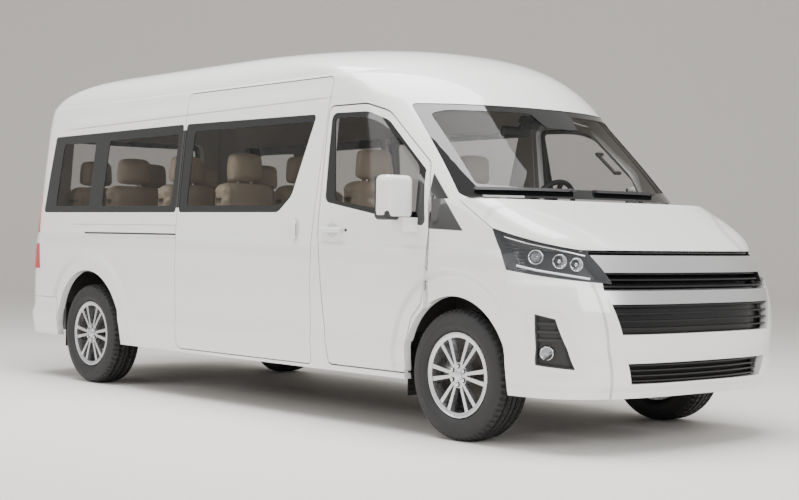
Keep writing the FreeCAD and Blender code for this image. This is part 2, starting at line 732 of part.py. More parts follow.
def plate_holes():
    """Two blind holes for the bolts of a number plate."""
    start = -v.wheelbase - .90 * REAR_OVERHANG
    places = [Vector(AXLE + start, side * v.plate_pitch / 2, v.plate_height) for side in (LEFT, RIGHT)]
    return [cylinder(v.plate_hole_radius, REAR_OVERHANG, place, Vector(-1, 0, 0)) for place in places]


def tailgate(shell):
    panel = shell.common(gate_zone(gate_corners(0))).cut(gate_zone(gate_window_corners(0)))
    return one(panel.cut(plate_holes()))


def tailgate_glass():
    return glass_in(gate_zone(gate_window_corners(-v.seat_gap)))


def rear_bumper(shell):
    low = box(-v.body_length, v.body_length, -OVERRUN, OVERRUN, 0, v.tail_bumper_bottom)
    front = -v.wheelbase - v.rear_arch_radius - v.shut_gap
    zone = box(-v.body_length, front, -OVERRUN, OVERRUN, 0, v.tail_bumper_top)
    panel = form(0).cut(form(v.wall)).common(zone).cut(low)
    return one(panel.cut(gate_zone(gate_corners(v.door_gap))))


def tail_lamps():
    shell = form(0).cut(form(.8 * v.wall))
    return Part.makeCompound(shell.common(tail_lamp_zone(0)).Solids)


# Wheels
def revolved(profile, centre):
    """A ring about the wheel's axle from a profile of (radius, across)."""
    points = [Vector(r, y, 0) for r, y in profile]
    wire = Part.makePolygon(points + [points[0]])
    ring = Part.Face(wire).revolve(Vector(0, 0, 0), Vector(0, 1, 0), 360)
    ring.translate(centre)
    return ring


def wheel_centre(station, side):
    return Vector(AXLE + station, side * v.track / 2, v.tyre_radius)


def tyre(station, side):
    half = v.tyre_width / 2
    shoulder = v.tyre_shoulder
    bead = v.rim_width / 2
    profile = [(v.rim_radius, -bead), (v.rim_radius + shoulder, -half * .97), (v.tyre_radius - 2 * shoulder, -half),
               (v.tyre_radius - .6 * shoulder, -half * .93), (v.tyre_radius, -half * .78),
               (v.tyre_radius, half * .78), (v.tyre_radius - .6 * shoulder, half * .93),
               (v.tyre_radius - 2 * shoulder, half), (v.rim_radius + shoulder, half * .97),
               (v.rim_radius, bead), (v.bead_radius + v.seat_gap, bead), (v.bead_radius + v.seat_gap, -bead)]
    return revolved(profile, wheel_centre(station, side))


def spoke_bar(reach, face, out):
    """One spoke along X, wider and deeper towards the barrel."""
    start, end = .32 * v.spoke_width, .5 * v.spoke_width
    low, high = v.hub_radius, reach
    corners = [Vector(low, face, -start), Vector(high, face, -end), Vector(high, face, end),
               Vector(low, face, start)]
    plate = Part.Face(Part.makePolygon(corners + [corners[0]]))
    return plate.extrude(Vector(0, out * v.hub_length / 2, 0))


def rim(station, side):
    """Barrel, six pairs of spokes and a hub with the bearing bore."""
    bead = v.rim_width / 2
    lip = v.skin
    out = side
    barrel = [(v.bead_radius, -bead), (v.bead_radius, bead), (v.rim_radius - v.seat_gap, bead + v.seat_gap),
              (v.rim_radius - v.seat_gap, bead + 2 * lip), (v.bead_radius - 3 * lip, bead + lip),
              (v.bead_radius - 4 * lip, -bead), (v.bead_radius - 2 * lip, -bead - lip),
              (v.rim_radius - v.seat_gap, -bead - 2 * lip), (v.rim_radius - v.seat_gap, -bead - v.seat_gap)]
    barrel = [(r, out * y) for r, y in barrel]
    shape = revolved(barrel, Vector(0, 0, 0))
    face = out * (bead - v.hub_length / 2)
    hub = Part.makeCylinder(2 * v.hub_radius, v.hub_length, Vector(0, face - v.hub_length / 2, 0), Vector(0, 1, 0))
    shape = shape.fuse(hub)
    for pair in range(int(v.spoke_count)):
        for lean in (-1, 1):
            spoke = spoke_bar(v.bead_radius - 2 * lip, face, out)
            turn = 360 / v.spoke_count * (pair + lean * v.spoke_lean)
            spoke.rotate(Vector(0, 0, 0), Vector(0, 1, 0), turn)
            shape = shape.fuse(spoke)
    bore = Part.makeCylinder(v.hub_bore + v.pin_clearance, 4 * v.hub_length, Vector(0, -2 * v.hub_length, 0),
                             Vector(0, 1, 0))
    shape = one(shape.cut(bore))
    shape.translate(wheel_centre(station, side))
    return shape


def spindle_end(side):
    """Outer end of a wheel bearing's spindle, across."""
    return side * (v.track / 2 + v.rim_width / 2 - .1 * v.hub_length)


# Running gear
def knuckle(side):
    """Kingpin, upright, brake disc and the spindle that the wheel turns on."""
    pin = Vector(AXLE, side * v.kingpin_half, v.tyre_radius)
    outward, upward = Vector(0, side, 0), Vector(0, 0, 1)
    spindle = cylinder(v.hub_bore, abs(spindle_end(side) - pin.y), pin, outward)
    disc_place = Vector(AXLE, side * (v.track / 2 - .15 * v.rim_width), v.tyre_radius)
    disc = cylinder(v.disc_radius, v.disc_thickness, disc_place - outward * v.disc_thickness, outward)
    half_upright = v.eye_drop - v.eye_height - 2 * v.skin
    upright = cylinder(2.2 * v.kingpin_radius, 2 * half_upright, pin - upward * half_upright, upward)
    reach = v.eye_drop + v.skin
    kingpin = cylinder(v.kingpin_radius, 2 * reach, pin - upward * reach, upward)
    return one(spindle.fuse([disc, upright, kingpin]))


def front_suspension():
    """Cross member between the rails' outer sides, with an eye above and below each knuckle."""
    height = v.tyre_radius
    outer = v.rail_half + v.rail_width / 2 + v.seat_gap
    breadth = v.rail_height / 2
    low, high = height - v.eye_drop, height + v.eye_drop
    shape = box(-breadth, breadth, -outer, outer, low, low + v.rail_height / 2)
    for side in (LEFT, RIGHT):
        near, far = sorted((side * outer, side * (outer + v.rail_width / 2)))
        tower = box(-breadth, breadth, near, far, low, high)
        near, far = sorted((side * outer, side * v.kingpin_half))
        pin = Vector(AXLE, side * v.kingpin_half, 0)
        shape = shape.fuse(tower)
        for foot in (low, high - v.eye_height):
            arm = box(-breadth / 2, breadth / 2, near, far, foot, foot + v.eye_height)
            eye = cylinder(2.2 * v.kingpin_radius, v.eye_height, pin + Vector(0, 0, foot), Vector(0, 0, 1))
            shape = shape.fuse([arm, eye])
        shape = shape.cut(cylinder(v.kingpin_radius + v.pin_clearance, v.body_height, pin, Vector(0, 0, 1)))
    return one(shape)


def rear_axle():
    """Beam, final drive housing and two brake drums with spindles."""
    centre = Vector(REAR_AXLE, 0, v.tyre_radius)
    length = v.track - v.rim_width
    beam = Part.makeCylinder(v.axle_radius, length, centre - Vector(0, length / 2, 0), Vector(0, 1, 0))
    housing = Part.makeSphere(3 * v.axle_radius, centre)
    shape = beam.fuse(housing)
    for side in (LEFT, RIGHT):
        start = centre + Vector(0, side * (length / 2 - v.drum_width / 2), 0)
        drum = Part.makeCylinder(v.drum_radius, v.drum_width, start, Vector(0, side, 0))
        spindle = Part.makeCylinder(v.hub_bore, abs(spindle_end(side)) - abs(start.y), start, Vector(0, side, 0))
        shape = shape.fuse([drum, spindle])
    return one(shape)


def leaf_springs():
    """A leaf pack on each side that rests on the axle and is hung beside the rails."""
    solids = []
    reach = v.wheelbase / 6
    pack_width = .8 * v.rail_width
    for side in (LEFT, RIGHT):
        rail = v.rail_half + v.rail_width / 2 + v.seat_gap
        low = v.tyre_radius + v.axle_radius + v.seat_gap
        near = min(side * (rail + v.skin), side * (rail + v.skin + pack_width))
        middle = Vector(REAR_AXLE, near, low)
        lift = Vector(0, 0, v.rail_height / 2)
        ends = [middle + lift - Vector(reach, 0, 0), middle + lift + Vector(reach, 0, 0)]
        rise = Vector(0, 0, 6 * v.skin)
        lower = Part.Arc(ends[0], middle, ends[1])
        upper = Part.Arc(ends[1] + rise, middle + rise, ends[0] + rise)
        wire = Part.Wire([lower.toShape(), Part.LineSegment(ends[1], ends[1] + rise).toShape(),
                          upper.toShape(), Part.LineSegment(ends[0] + rise, ends[0]).toShape()])
        pack = Part.Face(wire).extrude(Vector(0, pack_width, 0))
        for end in (-reach, reach):
            inner, outer = sorted((side * rail, side * (rail + v.skin + pack_width)))
            station = end - v.wheelbase
            hanger = box(station - v.rail_width / 2, station + v.rail_width / 2, inner, outer,
                         low + v.rail_height / 4, FLOOR_FOOT - 2 * v.skin)
            pack = pack.fuse(hanger)
        solids.append(one(pack))
    return Part.makeCompound(solids)


MEMBER_SHARES = (.03, .22, .40, .55, .72, .97)


def member_stations():
    start, end = rail_ends()
    return [start + share * (end - start) for share in MEMBER_SHARES]


def rail_ends():
    return -v.wheelbase - .8 * v.front_overhang, .62 * v.front_overhang


def chassis_frame():
    """Two rails and their cross members."""
    start, end = rail_ends()
    shape = None
    half = v.rail_width / 2
    for side in (LEFT, RIGHT):
        y = side * v.rail_half
        rail = box(start, end, y - half, y + half, RAIL_FOOT, RAIL_TOP)
        shape = rail if shape is None else shape.fuse(rail)
    for station in member_stations():
        shape = shape.fuse(box(station - half, station + half, -v.rail_half, v.rail_half,
                               RAIL_FOOT + .3 * v.rail_height, RAIL_TOP - .2 * v.rail_height))
    return one(shape)


def floor_pan():
    """Cabin floor on the rails, with a bulkhead and housings over the wheels."""
    wall = v.floor_thickness / 3
    start = -v.wheelbase - .93 * v.front_overhang
    shape = box(start, v.bulkhead_station, -HALF, HALF, FLOOR_FOOT, v.floor_top)
    shape = shape.fuse(box(v.bulkhead_station - wall, v.bulkhead_station, -HALF, HALF, FLOOR_FOOT,
                           v.bulkhead_top))
    reach = v.housing_reach
    for station in (0, -v.wheelbase):
        front, back = station - reach, station + reach
        for side in (LEFT, RIGHT):
            near, far = sorted((side * v.housing_inner, side * HALF))
            shape = shape.fuse(box(front, back, near, far, FLOOR_FOOT, v.housing_top))
        for side in (LEFT, RIGHT):
            near, far = sorted((side * (v.housing_inner + wall), side * OVERRUN))
            shape = shape.cut(box(front + wall, back - wall, near, far, 0, v.housing_top - wall))
    inside = shape.common(form(v.wall + v.seat_gap))
    doors = box(v.door_rear - v.door_gap, v.front_overhang, -OVERRUN, OVERRUN, 0, v.body_height)
    return one(inside.cut(doors.cut(form(v.wall + 2 * v.door_gap))))


def fuel_tank():
    """Pressed tank inside the left rail, under the floor."""
    stations = member_stations()
    tank = box(stations[2] + v.rail_width, stations[3] - v.rail_width, .15 * v.rail_half, .88 * v.rail_half,
               RAIL_FOOT - v.rail_height, FLOOR_FOOT - v.seat_gap)
    return tank.makeFillet(.25 * v.rail_height, tank.Edges)


def exhaust_pipe():
    """Pipe and silencer along the right rail, ending ahead of the rear axle."""
    rail = -v.rail_half - v.rail_width / 2
    y = rail - v.silencer_radius - v.skin
    z = RAIL_FOOT
    start = AXLE - .32 * v.wheelbase
    back = Vector(-1, 0, 0)
    pipe = cylinder(v.pipe_radius, .46 * v.wheelbase, Vector(start, y, z), back)
    silencer = cylinder(v.silencer_radius, v.wheelbase / 6, Vector(start - .10 * v.wheelbase, y, z), back)
    hanger = Part.makeBox(v.rail_width / 2, rail - v.seat_gap - y, v.rail_height / 2,
                          Vector(start - .05 * v.wheelbase, y, z))
    return one(pipe.fuse([silencer, hanger]))


def propshaft():
    """Shaft from the gearbox to the final drive."""
    rear = REAR_AXLE + 3 * v.axle_radius + v.seat_gap
    front = AXLE + v.gearbox_rear - v.seat_gap
    return cylinder(v.shaft_radius, front - rear, Vector(rear, 0, v.tyre_radius), Vector(1, 0, 0))


def engine_block():
    """One plain block for engine and gearbox, between the rails."""
    low = v.tyre_radius - v.eye_drop + v.rail_height / 2 + v.skin
    engine = box(v.engine_rear, v.engine_front, -v.engine_half, v.engine_half, low, v.engine_top)
    gearbox = box(v.gearbox_rear, v.engine_rear, -v.gearbox_half, v.gearbox_half,
                  v.tyre_radius - v.shaft_radius - v.skin, FLOOR_FOOT - v.skin)
    return one(engine.fuse(gearbox).cut(chassis_frame()))


def spare_wheel():
    """Spare tyre on its rim, slung flat under the tail's cross member."""
    station = AXLE + member_stations()[0]
    top = RAIL_FOOT - 2 * v.skin
    thick = .8 * v.tyre_width
    up = Vector(0, 0, 1)
    centre = Vector(station, 0, top - thick)
    body = cylinder(v.tyre_radius, thick, centre, up)
    body = body.makeFillet(2 * v.tyre_shoulder, body.Edges)
    dish = cylinder(v.rim_radius, thick / 3, centre, up)
    stem = cylinder(v.hub_bore, RAIL_FOOT + .3 * v.rail_height - v.seat_gap - centre.z - thick / 2,
                    centre + up * (thick / 2), up)
    return one(body.cut(dish).fuse(stem))


def mud_flaps():
    """Rubber sheets behind the wheels, against the rear walls of their housings."""
    solids = []
    wall = v.floor_thickness / 3
    for station, foot in ((0, v.front_flap_foot), (-v.wheelbase, v.rear_flap_foot)):
        face = station - v.housing_reach + wall + v.seat_gap
        for side in (LEFT, RIGHT):
            near, far = sorted((side * v.flap_inner, side * v.flap_outer))
            solids.append(box(face, face + v.skin, near, far, foot, v.floor_top))
    return Part.makeCompound(solids)


# Cabin
def seat(station, across):
    """Cushion, back, headrest and pedestal in one solid."""
    base = v.floor_top + v.seat_gap
    top = base + v.seat_base
    half = v.seat_width / 2
    rear = station - v.seat_depth / 2
    cushion = box(rear, rear + v.seat_depth, across - half, across + half, top, top + v.cushion_height)
    foot = top + v.cushion_height / 2
    back = box(rear - .4 * v.back_thickness, rear + .6 * v.back_thickness, across - half, across + half,
               foot, foot + v.back_height)
    rest_foot = foot + .96 * v.back_height
    rest = box(rear - .35 * v.back_thickness, rear + .5 * v.back_thickness, across - v.headrest_width / 2,
               across + v.headrest_width / 2, rest_foot, rest_foot + v.headrest_height)
    leg = .73 * across
    pedestal = box(rear + .15 * v.seat_depth, rear + .85 * v.seat_depth, leg - half / 4, leg + half / 4,
                   base, top + v.skin)
    return one(cushion.fuse([back, rest, pedestal]))


def front_seats():
    return Part.makeCompound([seat(v.front_seat_station, side * v.front_seat_half) for side in (LEFT, RIGHT)])


def passenger_seats():
    solids = []
    last = int(v.row_count) - 1
    for row in range(last + 1):
        bench = (v.seat_width + 5 * v.skin, 0)
        wide, middle = bench if row == last else (v.row_wide_half, v.row_middle)
        for across in (-wide, middle, wide):
            solids.append(seat(v.row_station - row * v.row_pitch, across))
    return Part.makeCompound(solids)


def dashboard():
    """Moulded panel ahead of the front seats, on a console that stands on the floor."""
    shares = ((-.545, .916, .03), (-.345, .985, .03), (.105, .969, .01), (.063, .687, .01), (-.40, .656, .03))
    profile = [(x * v.front_overhang, z * v.cowl_height, r * v.cowl_height) for x, z, r in shares]
    zone = full_prism(profile).common(form(v.wall + 2 * v.door_gap))
    reach = .86 * HALF
    zone = zone.common(box(-v.body_length, v.body_length, -reach, reach, 0, v.body_height))
    console = box(-.25 * v.front_overhang, v.bulkhead_station - 4 * v.skin, -.2 * HALF, .2 * HALF,
                  v.floor_top + v.seat_gap, v.bulkhead_top + v.wall)
    bore = cylinder(v.column_radius + v.pin_clearance, 2 * v.column_length, *column_line())
    return one(zone.fuse(console).cut(bore))


def wheel_direction():
    """Along the column, from the dashboard towards the driver."""
    tilt = math.radians(v.wheel_tilt)
    return Vector(-math.cos(tilt), 0, math.sin(tilt))


def wheel_middle():
    return Vector(AXLE + v.wheel_station, v.wheel_half, v.wheel_height)


def column_line():
    direction = wheel_direction()
    return wheel_middle() - direction * (v.column_length + v.skin), direction


def steering_wheel():
    """Rim, three spokes, boss and the column that turns in the dashboard."""
    ring = Part.makeTorus(v.wheel_ring, v.wheel_grip, Vector(0, 0, 0), Vector(0, 0, 1))
    grip = v.wheel_grip
    pieces = [cylinder(3.6 * grip, 2.6 * grip, Vector(0, 0, -2.6 * grip), Vector(0, 0, 1)),
              cylinder(v.column_radius, v.column_length, Vector(0, 0, -v.column_length), Vector(0, 0, 1))]
    spoke_turns = (0, 110, 250)
    for turn in spoke_turns:
        spoke = Part.makeBox(v.wheel_ring, 2 * grip, grip, Vector(0, -grip, -grip))
        spoke.rotate(Vector(0, 0, 0), Vector(0, 0, 1), turn)
        pieces.append(spoke)
    wheel = one(ring.fuse(pieces))
    wheel.Placement = FreeCAD.Placement(wheel_middle(), Rotation(Vector(0, 0, 1), wheel_direction()))
    return wheel


def mirror():
    """Right door mirror on its arm."""
    half = v.mirror_length / 2
    face = v.wall / 4 - HALF
    housing = box(v.mirror_station - half, v.mirror_station + half, face - v.mirror_width, face,
                  v.mirror_foot, v.mirror_foot + v.mirror_height)
    housing = housing.makeFillet(.6 * half, housing.Edges)
    arm = box(v.mirror_station, v.mirror_station + 1.5 * half, -HALF - v.mirror_width / 2,
              v.wall - HALF, v.mirror_foot - v.mirror_height / 4, v.mirror_foot + 4 * v.skin)
    return one(housing.fuse(arm).cut(form(-v.seat_gap)))


def wipers():
    """Two blades that lie on the foot of the windscreen."""
    skin = form(-3 * v.skin).cut(form(v.glass_inset - v.seat_gap))
    low = v.screen_bottom + 10 * v.skin
    solids = []
    for side in (LEFT, RIGHT):
        middle = (side * .37 - .2) * HALF
        strip = box(0, v.front_overhang, middle - v.wiper_reach / 2, middle + v.wiper_reach / 2, low,
                    low + 4 * v.skin)
        solids.append(one(skin.common(strip)))
    return Part.makeCompound(solids)


# Hinges of the tailgate and the hood: a knuckle with a leaf on the lid, a pin with two leaves on the body.
# A hinge line is its middle, the hinges' distance from it, their length, knuckle radius and pin radius.
def gate_hinge_line():
    middle = Vector(AXLE + v.gate_hinge_station, 0, v.gate_top + v.door_gap / 2)
    return middle, v.gate_hinge_half, v.gate_hinge_length, v.gate_hinge_radius, v.gate_hinge_pin


def hood_hinge_line():
    middle = Vector(AXLE + v.hood_hinge_station, 0, v.hood_hinge_height)
    return middle, v.hood_hinge_half, v.hood_hinge_length, v.hood_hinge_radius, v.hood_hinge_pin


def slab(start, leaf, length):
    """A block from a point to a leaf's far corner, as long as the hinge part."""
    low = Vector(min(0, leaf.x), 0, min(0, leaf.z))
    return Part.makeBox(abs(leaf.x), length, abs(leaf.z), start + low)


def with_knuckles(panel, line, leaf):
    """A lid with a knuckle and a leaf at each hinge."""
    middle, half, length, radius, pin = line
    across = Vector(0, 1, 0)
    solids = []
    for side in (LEFT, RIGHT):
        start = middle + across * (side * half - length / 2)
        solids += [cylinder(radius, length, start, across), slab(start, leaf, length)]
    bore = cylinder(pin + v.pin_clearance, 2 * OVERRUN, middle - across * OVERRUN, across)
    return one(panel.fuse(solids).cut(bore))


def hinge_ears(line, leaf):
    """Pins with a leaf at either end, on the body: left one, right one."""
    middle, half, length, radius, pin = line
    across = Vector(0, 1, 0)
    ear = length / 3
    reach = length / 2 + v.skin / 2 + ear
    solids = []
    for side in (LEFT, RIGHT):
        centre = middle + across * (side * half)
        pieces = [cylinder(pin, 2 * reach, centre - across * reach, across)]
        for start in (-reach, reach - ear):
            foot = centre + across * start
            pieces += [cylinder(radius, ear, foot, across), slab(foot, leaf, ear)]
        solids.append(pieces[0].fuse(pieces[1:]))
    return solids


def hood_recess():
    """Room in the right fender for the hood's knuckle and leaf."""
    middle, half, length, radius, pin = hood_hinge_line()
    room = radius + v.shut_gap - v.skin / 4
    start = middle - Vector(0, half + length / 2 + v.skin / 2, 0)
    breadth = length + v.skin
    return (cylinder(room, breadth, start, Vector(0, 1, 0))
            .fuse(slab(start - Vector(0, 0, room), Vector(2 * v.hood_leaf, 0, 3 * room), breadth))
            .fuse(slab(start, Vector(-room, 0, room), breadth)))


# The whole vehicle
def body_pieces():
    shell = wall_shell(v.wall)
    rest = side_rest(shell)
    right_panel, left_panel = side_panels(rest)
    gate_leaf = Vector(v.hinge_leaf, 0, -v.hinge_leaf)
    roof_leaf = Vector(v.hinge_leaf, 0, v.hinge_leaf)
    hood_leaf = Vector(v.hood_leaf, 0, v.hood_hinge_radius)
    pieces = {
        "roof_panel": one(roof_panel(shell).fuse(hinge_ears(gate_hinge_line(), roof_leaf))),
        "side_panel_left": left_panel,
        "side_panel_right": right_panel,
        "sliding_door": sliding_door(shell),
        "front_bumper": front_bumper(),
        "front_grille": front_grille(),
        "headlamps": headlamps(),
        "fog_lamps": fog_lamps(),
        "hood": with_knuckles(hood(), hood_hinge_line(), hood_leaf),
        "windscreen": windscreen(),
        "tailgate": with_knuckles(tailgate(shell), gate_hinge_line(), gate_leaf),
        "tailgate_glass": tailgate_glass(),
        "rear_bumper": rear_bumper(shell),
        "tail_lamps": tail_lamps(),
        "sliding_door_glass": pane(slider_window()),
        "quarter_glass_right": pane(quarter_window()),
        "side_glass_left": Part.makeCompound([mirrored(pane(window)) for window in left_windows()]),
        "wipers": wipers(),
    }
    paired = {
        "front_door": front_door(shell),
        "door_glass": pane(door_window_outline()),
        "fender": fender(rest),
        "mirror": mirror(),
    }
    for name, shape in paired.items():
        pieces[name + "_right"] = shape
        pieces[name + "_left"] = mirrored(shape)
    return pieces


def gear_pieces():
    pieces = {
        "front_suspension": front_suspension(),
        "rear_axle": rear_axle(),
        "leaf_springs": leaf_springs(),
        "chassis_frame": chassis_frame(),
        "floor_pan": floor_pan(),
        "fuel_tank": fuel_tank(),
        "exhaust_pipe": exhaust_pipe(),
        "propshaft": propshaft(),
        "engine_block": engine_block(),
        "spare_wheel": spare_wheel(),
        "mud_flaps": mud_flaps(),
        "front_seats": front_seats(),
        "passenger_seats": passenger_seats(),
        "dashboard": dashboard(),
        "steering_wheel": steering_wheel(),
    }
    for side, word in SIDES:
        pieces["knuckle_" + word] = knuckle(side)
        for end, station in (("front", 0), ("rear", -v.wheelbase)):
            pieces["tyre_%s_%s" % (end, word)] = tyre(station, side)
            pieces["rim_%s_%s" % (end, word)] = rim(station, side)
    return pieces


SIDES = ((LEFT, "left"), (RIGHT, "right"))


def build_all():
    parts = []
    for pieces in (body_pieces(), gear_pieces()):
        parts += [place_solid(name, shape) for name, shape in pieces.items()]
    doc.recompute()
    for item in doc.Objects:
        if "Invalid" in item.State or "Error" in item.State:
            raise RuntimeError(item.Label + " did not build")
    for item in parts:
        if item.Shape.isNull() or not item.Shape.isValid():
            raise RuntimeError(item.Label + " is not a valid solid")
        item.Shape.exportStep("parts/%s.step" % item.Label)


build_all()
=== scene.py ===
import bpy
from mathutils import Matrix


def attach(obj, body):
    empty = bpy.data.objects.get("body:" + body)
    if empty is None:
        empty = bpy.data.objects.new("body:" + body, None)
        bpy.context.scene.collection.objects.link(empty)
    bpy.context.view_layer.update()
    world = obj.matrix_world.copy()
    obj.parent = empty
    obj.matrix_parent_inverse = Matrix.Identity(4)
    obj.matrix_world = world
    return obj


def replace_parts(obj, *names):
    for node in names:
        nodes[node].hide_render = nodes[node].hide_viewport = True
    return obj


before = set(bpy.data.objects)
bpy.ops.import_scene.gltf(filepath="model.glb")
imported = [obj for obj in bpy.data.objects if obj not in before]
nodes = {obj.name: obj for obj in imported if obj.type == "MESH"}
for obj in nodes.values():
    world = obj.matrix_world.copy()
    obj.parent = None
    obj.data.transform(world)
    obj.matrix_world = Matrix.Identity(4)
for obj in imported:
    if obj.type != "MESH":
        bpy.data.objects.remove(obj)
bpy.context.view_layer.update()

import math

import bpy
from mathutils import Matrix, Vector

both_sides = (("left", 1), ("right", -1))

# Camera
# Eye height, ahead of the right front corner, through a long lens. Stations count from the front axle.
front_axle = 2.0025
wheelbase = 3.86
rear_axle = front_axle - wheelbase
turned, down, roll = math.radians(48.486), math.radians(0.596), math.radians(0.894)
ahead = Vector((-math.sin(turned) * math.cos(down), math.cos(turned) * math.cos(down), -math.sin(down)))
across = Vector((math.cos(turned), math.sin(turned), 0))
upward = across.cross(ahead)
picture_x = across * math.cos(roll) + upward * math.sin(roll)
picture_y = upward * math.cos(roll) - across * math.sin(roll)
camera = bpy.data.objects.new("camera", bpy.data.cameras.new("camera"))
camera.data.lens = 69.2
camera.data.sensor_width = 36
place = Matrix((picture_x, picture_y, -ahead)).transposed().to_4x4()
place.translation = Vector((5.987 + front_axle, -6.661, 1.114))
camera.matrix_world = place
bpy.context.scene.collection.objects.link(camera)
bpy.context.scene.camera = camera


class Socket:
    """One output in a finish's node tree; arithmetic on it adds Math nodes."""

    def __init__(self, finish, output):
        self.finish = finish
        self.output = output

    def math(self, operation, *values):
        return self.finish.node("ShaderNodeMath", {"operation": operation}, [self, *values])

    def __add__(self, other):
        return self.math("ADD", other)

    def __sub__(self, other):
        return self.math("SUBTRACT", other)

    def __rsub__(self, other):
        return self.math("MULTIPLY_ADD", -1.0, other)

    def __mul__(self, other):
        return self.math("MULTIPLY", other)

    def __truediv__(self, other):
        return self.math("DIVIDE", other)

    def __abs__(self):
        return self.math("ABSOLUTE")

    def ramp(self, start, end):
        """From 0 at start to 1 at end, smoothly."""
        return self.finish.node("ShaderNodeMapRange", {"interpolation_type": "SMOOTHSTEP"},
                                {"Value": self, "From Min": start, "From Max": end})

    def stripes(self, count, start, end):
        """Soft stripes, so many to the metre: 0 on each line and 1 between lines."""
        return abs((self * count).math("FRACT") - 0.5).ramp(start, end)

    def ridge(self, width):
        """1 where the value is zero, falling to 0 at a width on both sides."""
        return abs(self).ramp(width, 0)

    __radd__ = __add__
    __rmul__ = __mul__


class Finish:
    """A material made node by node around one shader."""

    def __init__(self, name, colour, rough, **constants):
        self.material = bpy.data.materials.new(name)
        self.material.use_nodes = True
        self.tree = self.material.node_tree
        self.shader = self.tree.nodes["Principled BSDF"]
        self.rough = rough
        self.look(base_color=(*colour, 1), roughness=rough, **constants)

    def set(self, node, values):
        for key, value in (values.items() if isinstance(values, dict) else enumerate(values)):
            if isinstance(value, Socket):
                self.tree.links.new(value.output, node.inputs[key])
            else:
                node.inputs[key].default_value = value

    def look(self, **inputs):
        """Sets the shader's inputs."""
        self.set(self.shader, {word.replace("_", " ").title().replace("Ior", "IOR"): value
                               for word, value in inputs.items()})

    def node(self, kind, settings=None, values=(), output=0):
        made = self.tree.nodes.new(kind)
        for key, value in (settings or {}).items():
            setattr(made, key, value)
        self.set(made, values)
        return Socket(self, made.outputs[output])

    def place(self):
        """Station, Y and Z of the surface, in metres; the station counts from the front axle."""
        point = self.node("ShaderNodeTexCoord", output=3)
        split = self.tree.nodes.new("ShaderNodeSeparateXYZ")
        self.set(split, [point])
        x, y, z = [Socket(self, split.outputs[i]) for i in range(3)]
        return x - front_axle, y, z

    def noise(self, scale, detail=3.0, stretch=(1, 1, 1)):
        point = self.node("ShaderNodeTexCoord", output=3)
        point = self.node("ShaderNodeMapping", {}, {"Vector": point, "Scale": stretch})
        return self.node("ShaderNodeTexNoise", {}, {"Vector": point, "Scale": scale, "Detail": detail})

    def mix(self, mask, low, high):
        """A colour between two colours."""
        blend = self.tree.nodes.new("ShaderNodeMix")
        blend.data_type = "RGBA"
        self.set(blend, {0: mask, 6: low if isinstance(low, Socket) else (*low, 1),
                         7: high if isinstance(high, Socket) else (*high, 1)})
        return Socket(self, blend.outputs[2])

    def within(self, corners, rounding, u, w):
        """Depth inside an outline that runs anticlockwise in two coordinates, with rounded corners."""
        depth = None
        for (u0, w0), (u1, w1) in zip(corners, corners[1:] + corners[:1]):
            length = math.hypot(u1 - u0, w1 - w0)
            a, b = (w0 - w1) / length, (u1 - u0) / length
            edge = u.math("MULTIPLY_ADD", a, w * b - (u0 * a + w0 * b))
            depth = edge if depth is None else depth.math("SMOOTH_MIN", edge, rounding)
        return depth

    def tones(self, scale, low, high):
        """A colour that varies from place to place."""
        self.look(base_color=self.mix(self.noise(scale), low, high))

    def gloss(self, scale, spread, low):
        """A roughness that varies from place to place."""
        self.look(roughness=self.noise(scale) * spread + low)

    def relief(self, height, distance, strength=1.0):
        self.look(normal=self.node("ShaderNodeBump", {}, {
            "Strength": strength, "Distance": distance, "Height": height}))

    def grain(self, scale, distance, spread=0.08):
        """Fine unevenness: a little relief, and a gloss that varies with it."""
        speckle = self.noise(scale)
        self.relief(speckle, distance)
        self.look(roughness=(self.noise(scale / 9) - 0.5) * spread + self.rough)
        return self


def fix():
    """Puts the active piece's place, turn and scale into its mesh."""
    bpy.ops.object.transform_apply(location=True, rotation=True, scale=True)


def called(name, body, piece):
    """Names a piece and its mesh, and gives it a body to ride."""
    piece.name = name
    piece.data.name = name
    if body:
        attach(piece, body)
    return piece


def select(*pieces):
    bpy.ops.object.select_all(action="DESELECT")
    for piece in pieces:
        piece.select_set(True)
    bpy.context.view_layer.objects.active = pieces[0]


def settle(name, body, finish, smooth=30):
    """Names the active piece, fixes its place and gives it a finish, smooth shading and a body to ride."""
    piece = bpy.context.object
    fix()
    piece.data.materials.clear()
    piece.data.materials.append(finish.material)
    bpy.ops.object.shade_smooth_by_angle(angle=math.radians(smooth))
    return called(name, body, piece)


def edit(action, kind=None, wanted=None, **settings):
    """One edit-mode action on all of the active mesh, or on the faces or edges that a test names."""
    bpy.ops.object.mode_set(mode="EDIT")
    if kind:
        bpy.ops.mesh.select_mode(type=kind)
    bpy.ops.mesh.select_all(action="DESELECT" if kind else "SELECT")
    if kind:
        bpy.ops.object.mode_set(mode="OBJECT")
        mesh = bpy.context.object.data
        for item in mesh.polygons if kind == "FACE" else mesh.edges:
            item.select = wanted(item)
        bpy.ops.object.mode_set(mode="EDIT")
    action(**settings)
    bpy.ops.object.mode_set(mode="OBJECT")


def modify(kind, **settings):
    """Adds a modifier to the active piece and applies it."""
    bpy.ops.object.modifier_add(type=kind)
    added = bpy.context.object.modifiers[-1]
    for key, value in settings.items():
        setattr(added, key, value)
    bpy.ops.object.modifier_apply(modifier=added.name)


def raw_box(size, centre=(0, 0, 0), turn=(0, 0, 0)):
    """A box at its size, before its edges and its finish."""
    bpy.ops.mesh.primitive_cube_add(size=1, location=centre, rotation=turn)
    bpy.context.object.scale = size
    bpy.ops.object.transform_apply(location=False, rotation=False, scale=True)
    return bpy.context.object


